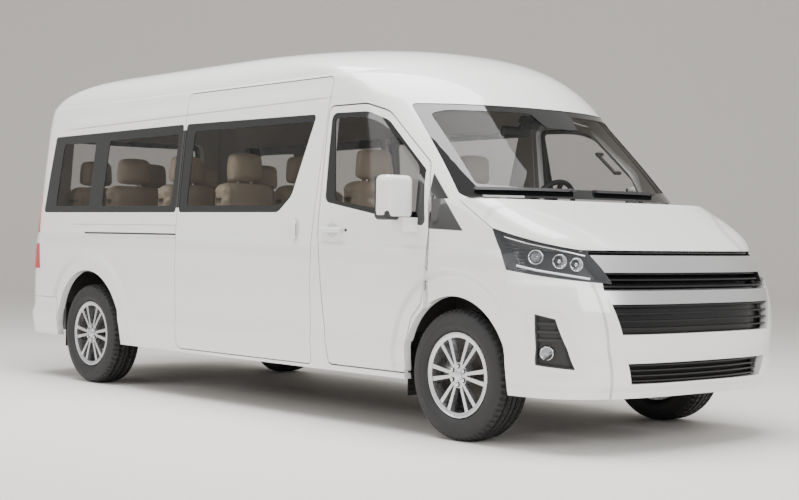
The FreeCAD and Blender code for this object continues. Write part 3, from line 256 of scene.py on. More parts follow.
def block(name, finish, centre, size, rounding=0, turn=(0, 0, 0), segments=3, body=None):
    """A box at its size, with all its edges rounded."""
    raw_box(size, centre, turn)
    if rounding:
        edit(bpy.ops.mesh.bevel, offset=rounding, segments=segments, affect="EDGES")
    return settle(name, body, finish)


def drum(name, finish, centre, direction, radius, length, rounding=0, tip=None, vertices=48, body=None):
    """A cylinder or a cone along a direction."""
    turn = Vector(direction).to_track_quat("Z", "Y").to_euler()
    bpy.ops.mesh.primitive_cone_add(vertices=vertices, radius1=radius, radius2=radius if tip is None else tip,
                                    depth=length, location=centre, rotation=turn)
    if rounding:
        edit(bpy.ops.mesh.bevel, "FACE", lambda face: len(face.vertices) > 4, offset=rounding, segments=3,
             affect="EDGES")
    return settle(name, body, finish)


def hoop(name, finish, centre, direction, radius, thickness, vertices=64, body=None):
    turn = Vector(direction).to_track_quat("Z", "Y").to_euler()
    bpy.ops.mesh.primitive_torus_add(major_radius=radius, minor_radius=thickness, major_segments=vertices,
                                     minor_segments=12, location=centre, rotation=turn)
    return settle(name, body, finish, 60)


def ball(name, finish, centre, size, segments=32, body=None):
    """A ball or an ellipsoid at its size."""
    bpy.ops.mesh.primitive_uv_sphere_add(segments=segments, ring_count=segments // 2, radius=0.5, location=centre)
    bpy.context.object.scale = size
    return settle(name, body, finish, 60)


def joined(name, pieces, body="body"):
    """Several pieces made one, keeping their finishes."""
    select(*pieces)
    if len(pieces) > 1:
        bpy.ops.object.join()
    return called(name, body, bpy.context.object)


def moved_copy(piece, name, body="body", offset=(0, 0, 0), flip=True):
    """A copy with its own mesh at another place, or on the vehicle's other side."""
    select(piece)
    bpy.ops.object.duplicate()
    if flip:
        bpy.ops.transform.resize(value=(1, -1, 1), center_override=(0, 0, 0))
    bpy.ops.transform.translate(value=offset)
    fix()
    if flip:
        edit(bpy.ops.mesh.flip_normals)
    return called(name, body, bpy.context.object)


def outward(node, face):
    """How far a face of a body panel looks away from the middle of the cabin, from -1 to 1."""
    middle = face.center
    spine = Vector((min(max(middle.x, -2.2), 1.7), 0, min(max(middle.z, 0.9), 1.5)))
    return face.normal.dot((middle - spine).normalized())


def dress(finish, *names, inner=None, limit=-0.25):
    """Puts a finish on CAD nodes, another on their inner faces, and shades curved faces smoothly."""
    for name in names:
        node = nodes[name]
        node.data.materials.clear()
        node.data.materials.append(finish.material)
        if inner:
            node.data.materials.append(inner.material)
        for face in node.data.polygons:
            face.use_smooth = True
            face.material_index = 1 if inner and outward(node, face) < limit else 0
        weld = node.modifiers.new("weld", "WELD")
        weld.merge_threshold = 0.00002
        split = node.modifiers.new("split", "EDGE_SPLIT")
        split.split_angle = math.radians(28)


# Studio
# A pale sheet of paper swept up behind the vehicle, under soft boxes.
bpy.ops.object.select_all(action="DESELECT")
paper_half, paper_reach, paper_bend, paper_height = 40, 20, 7, 26
flat = Vector((ahead.x, ahead.y, 0)).normalized()
middle = flat * 4
bpy.ops.mesh.primitive_plane_add(size=2, location=middle, rotation=(0, 0, math.atan2(across.y, across.x)))
bpy.context.object.scale = (paper_half, paper_reach, 1)
fix()


def far_edge(edge, ceiling=100):
    """Whether an edge of the sheet lies at its far end, no higher than a ceiling."""
    ends = [bpy.context.object.data.vertices[index].co for index in edge.vertices]
    return all(end.dot(flat) > 9 and end.z < ceiling for end in ends)


edit(bpy.ops.mesh.extrude_region_move, "EDGE", far_edge, TRANSFORM_OT_translate={"value": (0, 0, paper_height)})
edit(bpy.ops.mesh.bevel, "EDGE", lambda edge: far_edge(edge, 1), offset=paper_bend, segments=24, affect="EDGES")
paper = Finish("studio_paper", (0.82, 0.79, 0.755), 0.6)
paper.tones(0.35, (0.81, 0.78, 0.745), (0.83, 0.80, 0.765))
settle("studio_paper", None, paper, 60)


def soft_box(name, place, aim, size, power):
    light = bpy.data.lights.new(name, "AREA")
    light.shape = "RECTANGLE"
    light.size, light.size_y = size
    light.energy = power
    lamp = bpy.data.objects.new(name, light)
    lamp.location = place
    lamp.rotation_euler = (Vector(aim) - Vector(place)).to_track_quat("-Z", "Y").to_euler()
    bpy.context.scene.collection.objects.link(lamp)


soft_box("box_over", (0.5, -1.0, 7.0), (0, 0, 0), (8.0, 4.0), 1050)
soft_box("box_side", (-3.0, -9.0, 4.2), (-0.5, 0, 1.0), (9.0, 2.5), 320)
soft_box("box_front", (9.0, -2.5, 3.8), (1.5, 0, 1.0), (4.0, 3.0), 380)
world = bpy.data.worlds.new("studio")
bpy.context.scene.world = world
world.use_nodes = True
world.node_tree.nodes["Background"].inputs["Color"].default_value = (0.96, 0.945, 0.92, 1)
world.node_tree.nodes["Background"].inputs["Strength"].default_value = 0.7


# Body panels
# Pressed steel in white pearl under a clear coat; swages, flares and the rail's sunk frame are relief.
# The post between the side windows and the sail ahead of the door glass are black; the inside is lined.
panel_relief = 0.022


def white_coat(name):
    """White pearl under a clear coat, with its colour and the place on it."""
    pearl = (0.83, 0.83, 0.82)
    paint = Finish(name, pearl, 0.34, coat_weight=1.0, coat_roughness=0.04)
    colour = paint.mix(paint.noise(900, 1) * 0.02, pearl, (0.70, 0.74, 0.80))
    paint.look(base_color=colour, roughness=paint.noise(2.0) * 0.06 + 0.31)
    return paint, colour, paint.place()


def panel_paint():
    paint, colour, (x, y, z) = white_coat("pearl_white_paint")
    side = abs(y).ramp(0.86, 0.90)
    post = (x + 2.70).ridge(0.055).ramp(0.25, 0.3) * (z - 1.528).ridge(0.31).ramp(0.05, 0.08)
    sail = paint.within([(-0.212, 1.146), (0.065, 1.136), (-0.23, 1.455)], 0.01, x, z).ramp(-0.003, 0.003)
    post = post.math("MAXIMUM", sail) * side
    paint.look(base_color=paint.mix(post, colour, (0.008, 0.008, 0.008)))
    flare_front = ((x + 0.01).math("POWER", 2) + (z - 0.43).math("POWER", 2)).math("SQRT").ramp(0.51, 0.45)
    flare_rear = ((x + 3.84).math("POWER", 2) + (z - 0.395).math("POWER", 2)).math("SQRT").ramp(0.575, 0.505)
    flares = flare_front.math("MAXIMUM", flare_rear) * z.ramp(0.3, 0.4)
    waist = z - x * -0.0165 - 1.024
    swage = waist.ramp(0.03, 0.0) * waist.ramp(-0.10, -0.01)
    eaves = z - x * 0.023 - 1.953
    eaves = eaves.ramp(-0.006, 0.004) * eaves.ramp(0.10, 0.02) * (x + 2.7).ridge(1.75).ramp(0, 0.1)
    rail = paint.within([(-4.084, 1.060), (-2.705, 1.060), (-2.705, 1.150), (-4.084, 1.150)], 0.004, x, z)
    sunk = rail.ramp(-0.004, 0.004)
    paint.relief((flares + swage * 0.6 + eaves * 0.5 - sunk * 0.35) * side, panel_relief)
    return paint


white = panel_paint()
lining = Finish("cabin_lining", (0.42, 0.40, 0.37), 0.85).grain(700, 0.0004)
dress(white, "roof_panel", "side_panel_left", "side_panel_right", "sliding_door", "front_door_left",
      "front_door_right", "tailgate", inner=lining)
dress(white, "fender_left", "fender_right", "mirror_left", "mirror_right")


# Hood and bumpers
# The hood has a raised middle; the front bumper's corners stand out from the intake by a crease.
def nose_paint():
    paint, _, (x, y, z) = white_coat("nose_paint")
    shoulder = (0.73 - x).math("MAXIMUM", 0.0) / 0.44
    crown = shoulder.math("POWER", 1.8) * 0.3 + 0.6 - abs(y)
    hood = crown.ramp(-0.02, 0.05) * z.ramp(1.02, 1.06)
    corner = (abs(y) - 0.655 - (z - 0.36) * 0.16).ramp(-0.006, 0.016) * z.ramp(0.90, 0.85)
    pocket = paint.within([(0.53, 0.40), (0.80, 0.40), (0.71, 0.74), (0.53, 0.74)], 0.05, x, z)
    corner = (corner - pocket.ramp(-0.02, 0.03) * 0.5 * z.ramp(0.75, 0.7)) * x.ramp(0.0, 0.3)
    chin = (z - 0.335).ramp(0.02, -0.02)
    paint.relief(hood * 0.6 + corner - chin * 0.4, panel_relief)
    return paint


dress(nose_paint(), "hood", "front_bumper", "rear_bumper")


# Window glass
# Each pane is clear inside a baked black border, drawn from its corners in the side or the front view.
def pane_glass(name, outlines, rounding, view, tint=0.20, patch=None):
    glass = Finish(name, (0.006, 0.007, 0.007), 0.03, ior=1.7)
    x, y, z = glass.place()
    depth = None
    for outline in outlines:
        inside = glass.within(outline, rounding, x if view == "side" else y, z)
        depth = inside if depth is None else depth.math("MAXIMUM", inside)
    if patch:
        depth = depth.math("MINIMUM", -1 * glass.within(patch, rounding, y, z))
    clear = depth.ramp(-0.002, 0.002)
    smear = glass.noise(3.0) * 0.03
    glass.look(alpha=1 - clear * (1 - tint - smear), roughness=smear + 0.01)
    return glass


quarter = [[(-4.354, 1.284), (-3.875, 1.284), (-3.858, 1.745), (-4.315, 1.745)],
           [(-3.691, 1.281), (-2.785, 1.281), (-2.775, 1.762), (-3.668, 1.752)]]
slider = [[(-2.60, 1.280), (-1.570, 1.280), (-1.470, 1.345), (-1.314, 1.785), (-2.585, 1.775)]]
door = [[(-1.035, 1.300), (-0.62, 1.245), (-0.325, 1.215), (-0.325, 1.485), (-0.52, 1.660), (-0.68, 1.755),
         (-0.80, 1.790), (-1.108, 1.798)]]
screen = [[(-0.80, 1.395), (-0.60, 1.375), (0.60, 1.375), (0.80, 1.395), (0.765, 1.80), (0.70, 1.825),
           (-0.70, 1.825), (-0.765, 1.80)]]
sensor_patch = [(-0.13, 1.74), (0.13, 1.74), (0.20, 1.86), (-0.20, 1.86)]
gate = [[(-0.60, 1.30), (0.60, 1.30), (0.57, 1.79), (-0.57, 1.79)]]
side_glass = pane_glass("side_glass", quarter + slider, 0.045, "side")
dress(side_glass, "side_glass_left", "quarter_glass_right", "sliding_door_glass")
dress(pane_glass("door_glass", door, 0.05, "side", 0.14), "door_glass_left", "door_glass_right")
dress(pane_glass("screen_glass", screen, 0.03, "front", 0.12, sensor_patch), "windscreen")
dress(pane_glass("gate_glass", gate, 0.05, "front"), "tailgate_glass")


# Grille
# Two satin silver bars over black slats; a dark mesh fills the gaps between them.
grille = Finish("grille_bars_and_slats", (0.010, 0.010, 0.011), 0.22)
z = grille.place()[2]
upper_bar = z.ramp(0.930, 0.934) * z.ramp(1.024, 1.020)
lower_bar = z.ramp(0.769, 0.773) * z.ramp(0.846, 0.842)
bars = upper_bar.math("MAXIMUM", lower_bar)
brushed = grille.noise(60, 2, (1, 0.05, 12))
silver = grille.mix(brushed, (0.66, 0.67, 0.68), (0.74, 0.75, 0.76))
grille.look(base_color=grille.mix(bars, (0.010, 0.010, 0.011), silver),
            metallic=bars * 0.85, roughness=bars * 0.12 + 0.20 + brushed * 0.05)
dress(grille, "front_grille")
gloss_black = Finish("gloss_black_plastic", (0.012, 0.012, 0.013), 0.18).grain(500, 0.0001)
matt_black = Finish("grained_black_plastic", (0.018, 0.018, 0.019), 0.5).grain(1600, 0.0006)
dark_metal = Finish("dark_metal", (0.05, 0.05, 0.055), 0.5, metallic=0.6).grain(120, 0.0006)
chrome = Finish("bright_chrome", (0.80, 0.80, 0.82), 0.06, metallic=1.0).grain(40, 0.0002, 0.04)


# Lower intake
# Black slats across the bumper's opening with a mesh behind them, curved with the bumper.
intake_half, intake_foot = 0.575, 0.362


def at(station, aside, height):
    """A point whose station counts from the front axle."""
    return Vector((front_axle + station, aside, height))


def nose_arc(name, finish, height, thick, deep, half, front, curve):
    """A slat across the nose: a thin bar bent back towards its ends."""
    piece = raw_box((deep, 2 * half, thick), at(front, 0, height))
    for _ in range(4):
        edit(bpy.ops.mesh.subdivide, number_cuts=1)
    for vertex in piece.data.vertices:
        vertex.co.x -= curve * (abs(vertex.co.y) / half) ** 2.4
    return settle(name, "body", finish, 30)


slats = [nose_arc("intake_slat", gloss_black, intake_foot + 0.012 + 0.027 * index, 0.007, 0.05, intake_half,
                  0.905, 0.075) for index in range(4)]
slats.append(nose_arc("intake_back", matt_black, 0.415, 0.135, 0.012, intake_half + 0.03, 0.865, 0.075))
joined("intake_slats", slats)


# Headlamps
# Clear lenses over dark housings with a projector, two bright bowls, a light guide and ribs.
def lens(name, colour, alpha, rough=0.03):
    clear = Finish(name, colour, rough, alpha=alpha, ior=2.2)
    clear.gloss(4.0, 0.03, rough)
    return clear


housing = Finish("lamp_housing", (0.02, 0.02, 0.022), 0.35).grain(300, 0.0003)
dress(lens("headlamp_lens", (0.4, 0.42, 0.45), 0.10), "headlamps", inner=housing, limit=0.25)
glow = Finish("white_light_guide", (0.85, 0.87, 0.9), 0.25, emission_color=(0.9, 0.95, 1.0, 1),
              emission_strength=0.35)
glow.gloss(300, 0.2, 0.15)
crystal = lens("projector_glass", (0.25, 0.27, 0.3), 0.55, 0.0)


def bowl(name, centre, direction, radius, depth):
    """A bright reflector: an open cone with a rolled rim and a bulb cap."""
    aim = Vector(direction).normalized()
    middle = at(*centre)
    turn = aim.to_track_quat("Z", "Y").to_euler()
    bpy.ops.mesh.primitive_cone_add(vertices=40, radius1=radius * 0.32, radius2=radius, depth=depth,
                                    end_fill_type="NOTHING", location=middle - aim * (depth / 2), rotation=turn)
    modify("SOLIDIFY", thickness=0.002)
    cone = settle(name, None, chrome, 40)
    cap = drum(name + "_cap", chrome, middle - aim * (depth * 0.6), aim, radius * 0.25, depth * 0.7, 0.002)
    rim = hoop(name + "_rim", chrome, middle, aim, radius, 0.0025, 40)
    return [cone, cap, rim]


ahead_out = Vector((0.80, -0.55, 0.0))
pieces = bowl("bowl_one", (0.612, -0.800, 0.985), ahead_out, 0.036, 0.045)
pieces += bowl("bowl_two", (0.682, -0.748, 0.970), ahead_out, 0.033, 0.040)
middle = at(0.505, -0.868, 1.005)
aim = Vector((0.72, -0.68, 0.08)).normalized()
pieces.append(drum("projector_barrel", gloss_black, middle - aim * 0.02, aim, 0.034, 0.05, 0.003))
pieces.append(hoop("projector_ring", chrome, middle + aim * 0.006, aim, 0.036, 0.004, 48))
pieces.append(ball("projector_glass", crystal, middle - aim * 0.008, [0.06] * 3))
strips = [[(0.335, -0.925, 1.108), (0.462, -0.905, 1.080), (0.60, -0.815, 1.048), (0.695, -0.700, 1.015)],
          [(0.425, -0.925, 0.960), (0.535, -0.892, 0.938), (0.65, -0.815, 0.918), (0.755, -0.725, 0.898)]]
for points, finish in zip(strips, (chrome, glow)):
    for start, end in zip(points, points[1:]):
        start, end = at(*start), at(*end)
        run = end - start
        pieces.append(drum("guide", finish, (start + end) / 2, run, 0.006, run.length, 0.001, vertices=16))
for index in range(6):
    centre = at(0.430 - 0.013 * index, -0.905, 0.975 + 0.018 * index)
    pieces.append(block("rib", gloss_black, centre, (0.085, 0.03, 0.005), 0.001, (0, 0, -0.25), 2))
moved_copy(joined("headlamp_inside_right", pieces), "headlamp_inside_left")


# Fog lamps
# The CAD bezel is grained black; a satin bowl behind a clear disc sits in its round boss.
lamp_satin = Finish("lamp_satin", (0.72, 0.73, 0.75), 0.38, metallic=1.0).grain(200, 0.0003)
dress(matt_black, "fog_lamps")
aim = Vector((0.50, -0.86, 0)).normalized()
middle = at(0.636, -0.912, 0.517)
pieces = [hoop("fog_ring", chrome, middle, aim, 0.033, 0.003, 40),
          drum("fog_bowl", lamp_satin, middle - aim * 0.006, aim, 0.012, 0.014, 0, 0.031),
          drum("fog_cap", lamp_satin, middle - aim * 0.003, aim, 0.011, 0.012, 0.004, vertices=32),
          drum("fog_glass", crystal, middle + aim * 0.0015, aim, 0.031, 0.003, 0.001)]
moved_copy(joined("fog_lamp_right", pieces), "fog_lamp_left")


# Door handles
# A bar over an oval cup on each front door and on the sliding door's front edge; the cup's grey is painted shade.
skin_half = 0.972


def door_handle(name, body, station, height, upright, sign):
    """A rounded bar that stands off an oval cup in the panel, the cup grey with painted shade."""
    centre = at(station, sign * skin_half, height)
    bar = (0.030, 0.020, 0.118) if upright else (0.205, 0.020, 0.032)
    cup = (0.074, 0.004, 0.135) if upright else (0.095, 0.004, 0.092)
    pieces = [block("bar", white, centre + Vector((0, sign * 0.014, 0)), bar, 0.009, segments=4)]
    # The cup is painted grey as painted shade of its recess under the bar.
    pieces.append(ball("cup", cup_painted_shade, centre, cup, 48))
    foot = Vector((0, 0, 0.045)) if upright else Vector((0.085, 0, 0))
    for end in (-1, 1):
        spot = centre + foot * end + Vector((0, sign * 0.006, 0))
        pieces.append(block("foot", white, spot, (0.022, 0.016, 0.022), 0.004))
    if not upright:
        lock = centre + Vector((0.125, 0, 0))
        pieces.append(drum("lock", dark_metal, lock, (0, sign, 0), 0.009, 0.006, 0.001, vertices=32))
    return joined(name, pieces, body)


# Mid grey paint for the cup: painted shade of the recess under the handle bar, not a colour of its own.
cup_painted_shade = Finish("handle_cup_painted_shade", (0.62, 0.62, 0.62), 0.3, coat_weight=1.0).grain(600, 0.0001)
for side, sign in both_sides:
    door_handle("handle_" + side, "door_" + side, -1.042, 1.132, False, sign)
door_handle("handle_sliding_door", "body", -1.398, 1.131, True, -1)


# Sliding door's rail
# A dark slot in the rear quarter, with a thin lip under it.
slot_end, slot_start, slot_height = -3.898, -2.706, 1.089
middle = front_axle + (slot_end + slot_start) / 2
block("rail_slot", matt_black, (middle, -skin_half + 0.0005, slot_height), (slot_start - slot_end, 0.004, 0.011),
      0.001, segments=2, body="body")
block("rail_lip", white, (middle - 0.002, -skin_half - 0.0005, slot_height - 0.010),
      (slot_start - slot_end + 0.02, 0.005, 0.006), 0.002, segments=2, body="body")


# Mirrors
# White caps over black lower shells, with a glass that faces back and a clear side lamp.
mirror_glass = Finish("mirror_silvering", (0.75, 0.78, 0.80), 0.02, metallic=1.0)
mirror_glass.gloss(5, 0.03, 0)
for side, sign in both_sides:
    x_at = front_axle - 0.39
    pieces = [block("shell", matt_black, (x_at - 0.002, sign * 1.062, 1.222), (0.118, 0.1985, 0.062), 0.022,
                    segments=4),
              block("neck", matt_black, (x_at + 0.03, sign * 0.985, 1.168), (0.085, 0.10, 0.045), 0.016),
              block("frame", matt_black, (x_at - 0.059, sign * 1.062, 1.318), (0.008, 0.180, 0.222), 0.003),
              block("glass", mirror_glass, (x_at - 0.0625, sign * 1.062, 1.320), (0.003, 0.165, 0.205), 0.001),
              block("repeater", glow, (x_at + 0.052, sign * 1.075, 1.262), (0.012, 0.14, 0.010), 0.003)]
    joined("mirror_parts_" + side, pieces, "door_" + side)


# Tyres
# Each tyre is turned from its section, with four grooves round the tread and cut shoulder blocks.
rubber = Finish("tyre_rubber", (0.013, 0.013, 0.014), 0.62)
rubber.tones(9, (0.009, 0.009, 0.010), (0.017, 0.017, 0.017))
rubber.gloss(40, 0.2, 0.5)
rubber.relief(rubber.noise(220), 0.0008)
wheel_height, wheel_reach = 0.357, 0.836
tread = [(0.013, 0.357), (0.013, 0.347), (0.022, 0.347), (0.022, 0.357), (0.057, 0.3567), (0.057, 0.347),
         (0.066, 0.347), (0.066, 0.3562), (0.078, 0.3545), (0.092, 0.350)]
wall = [(0.101, 0.341), (0.110, 0.325), (0.1150, 0.305), (0.1172, 0.290), (0.1172, 0.282), (0.1155, 0.281),
        (0.1150, 0.268), (0.112, 0.258), (0.105, 0.245), (0.100, 0.2395), (0.095, 0.2375), (0.089, 0.2330)]
half_section = tread + wall
tyre_section = [(-offset, radius) for offset, radius in reversed(half_section)] + half_section


def turned_ring(name, body, finish, profile, steps=96, smooth=35):
    """A ring about the Y axis, spun from a closed profile of (across, radius)."""
    bpy.ops.mesh.primitive_circle_add(vertices=len(profile), radius=1)
    ring = bpy.context.object
    for vertex, (offset, radius) in zip(ring.data.vertices, profile):
        vertex.co = (0, offset, radius)
    edit(bpy.ops.mesh.spin, steps=steps, angle=2 * math.pi, center=(0, 0, 0), axis=(0, 1, 0))
    edit(bpy.ops.mesh.remove_doubles, threshold=0.00001)
    edit(bpy.ops.mesh.normals_make_consistent, inside=False)
    return settle(name, body, finish, smooth)


def every_other(face):
    """Whether a face of the tread's shoulders and ribs sinks into a cross groove."""
    middle = face.center
    turn = (math.atan2(middle.z, middle.x) + math.pi) / (2 * math.pi)
    step = int(turn * tyre_steps + 0.5 * (middle.y > 0))
    tread_face = math.hypot(middle.x, middle.z) > 0.342 and abs(face.normal.y) < 0.75
    return tread_face and abs(middle.y) > 0.024 and step % 2 == 0


tyre_steps = 120
tyre = turned_ring("tyre_pattern", None, rubber, tyre_section, tyre_steps, 40)
edit(bpy.ops.mesh.inset, "FACE", every_other, thickness=0.0016, depth=-0.006, use_individual=True)
alloy = Finish("silver_alloy", (0.62, 0.63, 0.65), 0.28, metallic=0.9, coat_weight=0.6)
alloy.grain(260, 0.0002, 0.12)


# Wheel trims
# A cap, six nuts and a valve stand on each rim; a polished ring edges its lip.
face = 0.090
pieces = [drum("cap", alloy, (0, face, 0), (0, 1, 0), 0.030, 0.012, 0.003),
          hoop("cap_ring", chrome, (0, face + 0.006, 0), (0, 1, 0), 0.026, 0.0015, 40),
          drum("valve", matt_black, (0.206, 0.075, 0), (0, 1, 0), 0.004, 0.03, 0.001, vertices=16)]
for index in range(6):
    turn = 2 * math.pi * (index + 0.5) / 6
    spot = (0.050 * math.cos(turn), face, 0.050 * math.sin(turn))
    pieces.append(drum("nut", chrome, spot, (0, 1, 0), 0.0105, 0.016, 0.002, vertices=6))
    pieces.append(drum("seat", dark_metal, (spot[0], face - 0.004, spot[2]), (0, 1, 0), 0.014, 0.010, vertices=24))
lip = [(0.0935, 0.2310), (0.0955, 0.2310), (0.0975, 0.2295), (0.0975, 0.2240), (0.0960, 0.2225), (0.0935, 0.2225)]
pieces.append(turned_ring("lip", None, alloy, lip, 96, 40))
trim = joined("trim_pattern", pieces, None)
for end, station in (("front", front_axle), ("rear", rear_axle)):
    for side, sign in both_sides:
        corner = "%s_%s" % (end, side)
        spot = (station, sign * wheel_reach, wheel_height)
        dress(alloy, "rim_" + corner)
        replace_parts(moved_copy(tyre, "tread_" + corner, "wheel_" + corner, spot, False), "tyre_" + corner)
        moved_copy(trim, "trim_" + corner, "wheel_" + corner, spot, sign < 0)
select(tyre, trim)
bpy.ops.object.delete()


# Seats
# Three padded shapes, cushion, back and headrest, are blown up a little as cloth. Every seat is a set of
# copies in perforated leather, with a plastic side shield and headrest stalks.
leather = Finish("beige_leather", (0.54, 0.44, 0.32), 0.45)
hide = leather.noise(900)
leather.tones(6, (0.50, 0.40, 0.29), (0.58, 0.475, 0.355))
leather.look(roughness=hide * 0.15 + 0.38)
leather.relief(hide, 0.0008)
shield_plastic = Finish("seat_shield_plastic", (0.03, 0.028, 0.026), 0.55).grain(1200, 0.0004)


def stuffed(name, size, rounding, bulge):
    """A block of foam under leather, at the origin: rounded, remeshed and blown up as cloth."""
    pad = raw_box(size)
    edit(bpy.ops.mesh.bevel, offset=rounding, segments=3, affect="EDGES")
    pad.data.remesh_voxel_size = 0.012
    bpy.ops.object.voxel_remesh()
    before = [vertex.co.copy() for vertex in pad.data.vertices]
    bpy.ops.object.modifier_add(type="CLOTH")
    cloth = pad.modifiers[-1]
    cloth.settings.use_pressure = True
    cloth.settings.uniform_pressure_force = 4
    cloth.settings.effector_weights.gravity = 0
    cloth.settings.quality = 4
    for frame_number in range(1, 16):
        bpy.context.scene.frame_set(frame_number)
    bpy.ops.object.modifier_apply(modifier=cloth.name)
    bpy.context.scene.frame_set(1)
    for vertex, rest in zip(pad.data.vertices, before):
        shift = vertex.co - rest
        if shift.length > bulge:
            vertex.co = rest + shift.normalized() * bulge
    select(pad)
    modify("DECIMATE", ratio=0.45)
    return settle(name, None, leather, 60)


def seam(distance):
    """1 on a sewn seam, falling off within two centimetres of it."""
    return math.exp(-(distance / 0.010) ** 2)


def shaped(pad, shape):
    """Moves each point of a pad by a formula."""
    for vertex in pad.data.vertices:
        vertex.co = shape(vertex.co.copy())
    return pad


seat_width = 0.47
cushion = stuffed("cushion", (0.46, seat_width, 0.13), 0.03, 0.022)
bolster = 0.5 * seat_width


def cushion_shape(co):
    edge = abs(co.y) / bolster
    groove = seam(abs(co.y) - 0.155) + seam(co.x - 0.02) * (edge < 0.64)
    top = co.z > 0.02
    co.z += top * (0.018 * edge ** 3 - 0.010 * groove)
    return co


def back_shape(co):
    edge = abs(co.y) / bolster
    front = co.x > 0.01
    groove = seam(abs(co.y) - 0.150) + seam(co.z - 0.05) * (edge < 0.62)
    co.x += front * (0.016 * edge ** 3 - 0.010 * groove)
    rise = (co.z + 0.27) / 0.54
    co.y *= 1.0 - 0.10 * max(0, rise - 0.55) ** 1.3
    co.z -= max(0, edge - 0.55) ** 2 * 0.22 * (rise > 0.8)
    return co


shaped(cushion, cushion_shape)
back = shaped(stuffed("back", (0.105, seat_width, 0.53), 0.03, 0.018), back_shape)
headrest = stuffed("headrest", (0.095, 0.265, 0.185), 0.035, 0.014)


def headrest_shape(co):
    rise = (co.z + 0.0925) / 0.185
    co.y *= 1.0 - 0.10 * rise ** 2
    co.z -= (abs(co.y) / 0.13) ** 3 * 0.008 * (rise > 0.6)
    return co


shaped(headrest, headrest_shape)


floor_top = 0.5603


def seat(name, station, half_across):
    """One seat where its CAD solid stands: soft parts first, then its hard parts as a second piece."""
    x_mid = front_axle + station
    base = floor_top + 0.280
    rear = x_mid - 0.235
    spots = ((cushion, (x_mid - 0.002, half_across, base + 0.080)),
             (back, (rear + 0.012, half_across, base + 0.350)),
             (headrest, (rear + 0.009, half_across, base + 0.705)))
    soft = joined(name, [moved_copy(pad, "pad", "body", spot, False) for pad, spot in spots])
    hard = [block("shield", shield_plastic, (x_mid - 0.01, half_across, base + 0.006), (0.40, 0.40, 0.02), 0.006,
                  segments=2),
            block("foot", shield_plastic, (x_mid, 0.73 * half_across, floor_top + 0.139), (0.31, 0.11, 0.27), 0.012,
                  segments=2)]
    for side in (-1, 1):
        hard.append(drum("stalk", chrome, (rear + 0.009, half_across + side * 0.055, base + 0.612), (0, 0, 1),
                         0.006, 0.06, vertices=12))
        hard.append(block("hinge_cover", shield_plastic,
                          (rear + 0.02, half_across + side * 0.226, base + 0.085), (0.11, 0.018, 0.10), 0.008,
                          segments=2))
    joined(name + "_frame", hard)
    return soft


for side, sign in both_sides:
    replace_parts(seat("seat_front_" + side, -1.08, sign * 0.43), "front_seats")
for row in range(4):
    spread = (-0.59, -0.095, 0.59) if row < 3 else (-0.5, 0.0, 0.5)
    for index, spot in enumerate(spread):
        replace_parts(seat("seat_row%d_%d" % (row + 1, index + 1), -2.23 - 0.70 * row, spot), "passenger_seats")
select(cushion, back, headrest)
bpy.ops.object.delete()


# Dashboard
# Soft black moulding with vents, an instrument hood, a blank centre screen and stowage lids.
dash_skin = Finish("dashboard_skin", (0.030, 0.030, 0.031), 0.6).grain(1400, 0.0006)
dress(dash_skin, "dashboard")
screen_glass = Finish("dark_screen", (0.008, 0.009, 0.010), 0.08, coat_weight=0.5).grain(30, 0.0001)
satin_trim = Finish("satin_trim", (0.45, 0.45, 0.46), 0.35, metallic=0.8).grain(500, 0.0002)
face = front_axle - 0.395
pieces = [block("hood", dash_skin, (face + 0.03, 0.42, 1.262), (0.22, 0.36, 0.055), 0.022, (0, 0.10, 0)),
          block("dials", screen_glass, (face - 0.025, 0.42, 1.215), (0.02, 0.30, 0.085), 0.006, (0, -0.3, 0)),
          block("stack", dash_skin, (face - 0.035, 0.0, 1.115), (0.11, 0.30, 0.29), 0.02, (0, -0.12, 0)),
          block("screen", screen_glass, (face - 0.10, 0.0, 1.165), (0.012, 0.24, 0.135), 0.005, (0, -0.12, 0)),
          block("lid", dash_skin, (face - 0.02, -0.45, 1.05), (0.05, 0.42, 0.16), 0.012, (0, -0.12, 0)),
          block("lid_catch", satin_trim, (face - 0.048, -0.45, 1.10), (0.008, 0.10, 0.014), 0.003)]
for spot in (-0.72, -0.17, 0.17, 0.72):
    pieces.append(block("vent", gloss_black, (face - 0.015, spot, 1.195), (0.03, 0.125, 0.06), 0.006))
    for index in range(4):
        pieces.append(block("blade", satin_trim, (face - 0.033, spot, 1.177 + 0.012 * index),
                            (0.006, 0.105, 0.003), 0.001, segments=1))
for index in range(3):
    pieces.append(drum("knob", satin_trim, (face - 0.090, -0.07 + 0.07 * index, 1.045), (-1, 0, 0.1), 0.018,
                       0.02, 0.003, vertices=32))
joined("dashboard_parts", pieces)
block("gear_console", dash_skin, at(-0.36, 0.0, 0.86), (0.30, 0.17, 0.20), 0.03, body="body")
drum("gear_lever", satin_trim, at(-0.40, 0.0, 0.985), (-0.15, 0, 1), 0.007, 0.11, body="body")
ball("gear_knob", dash_skin, at(-0.408, 0.0, 1.045), [0.048] * 3, 24, "body")


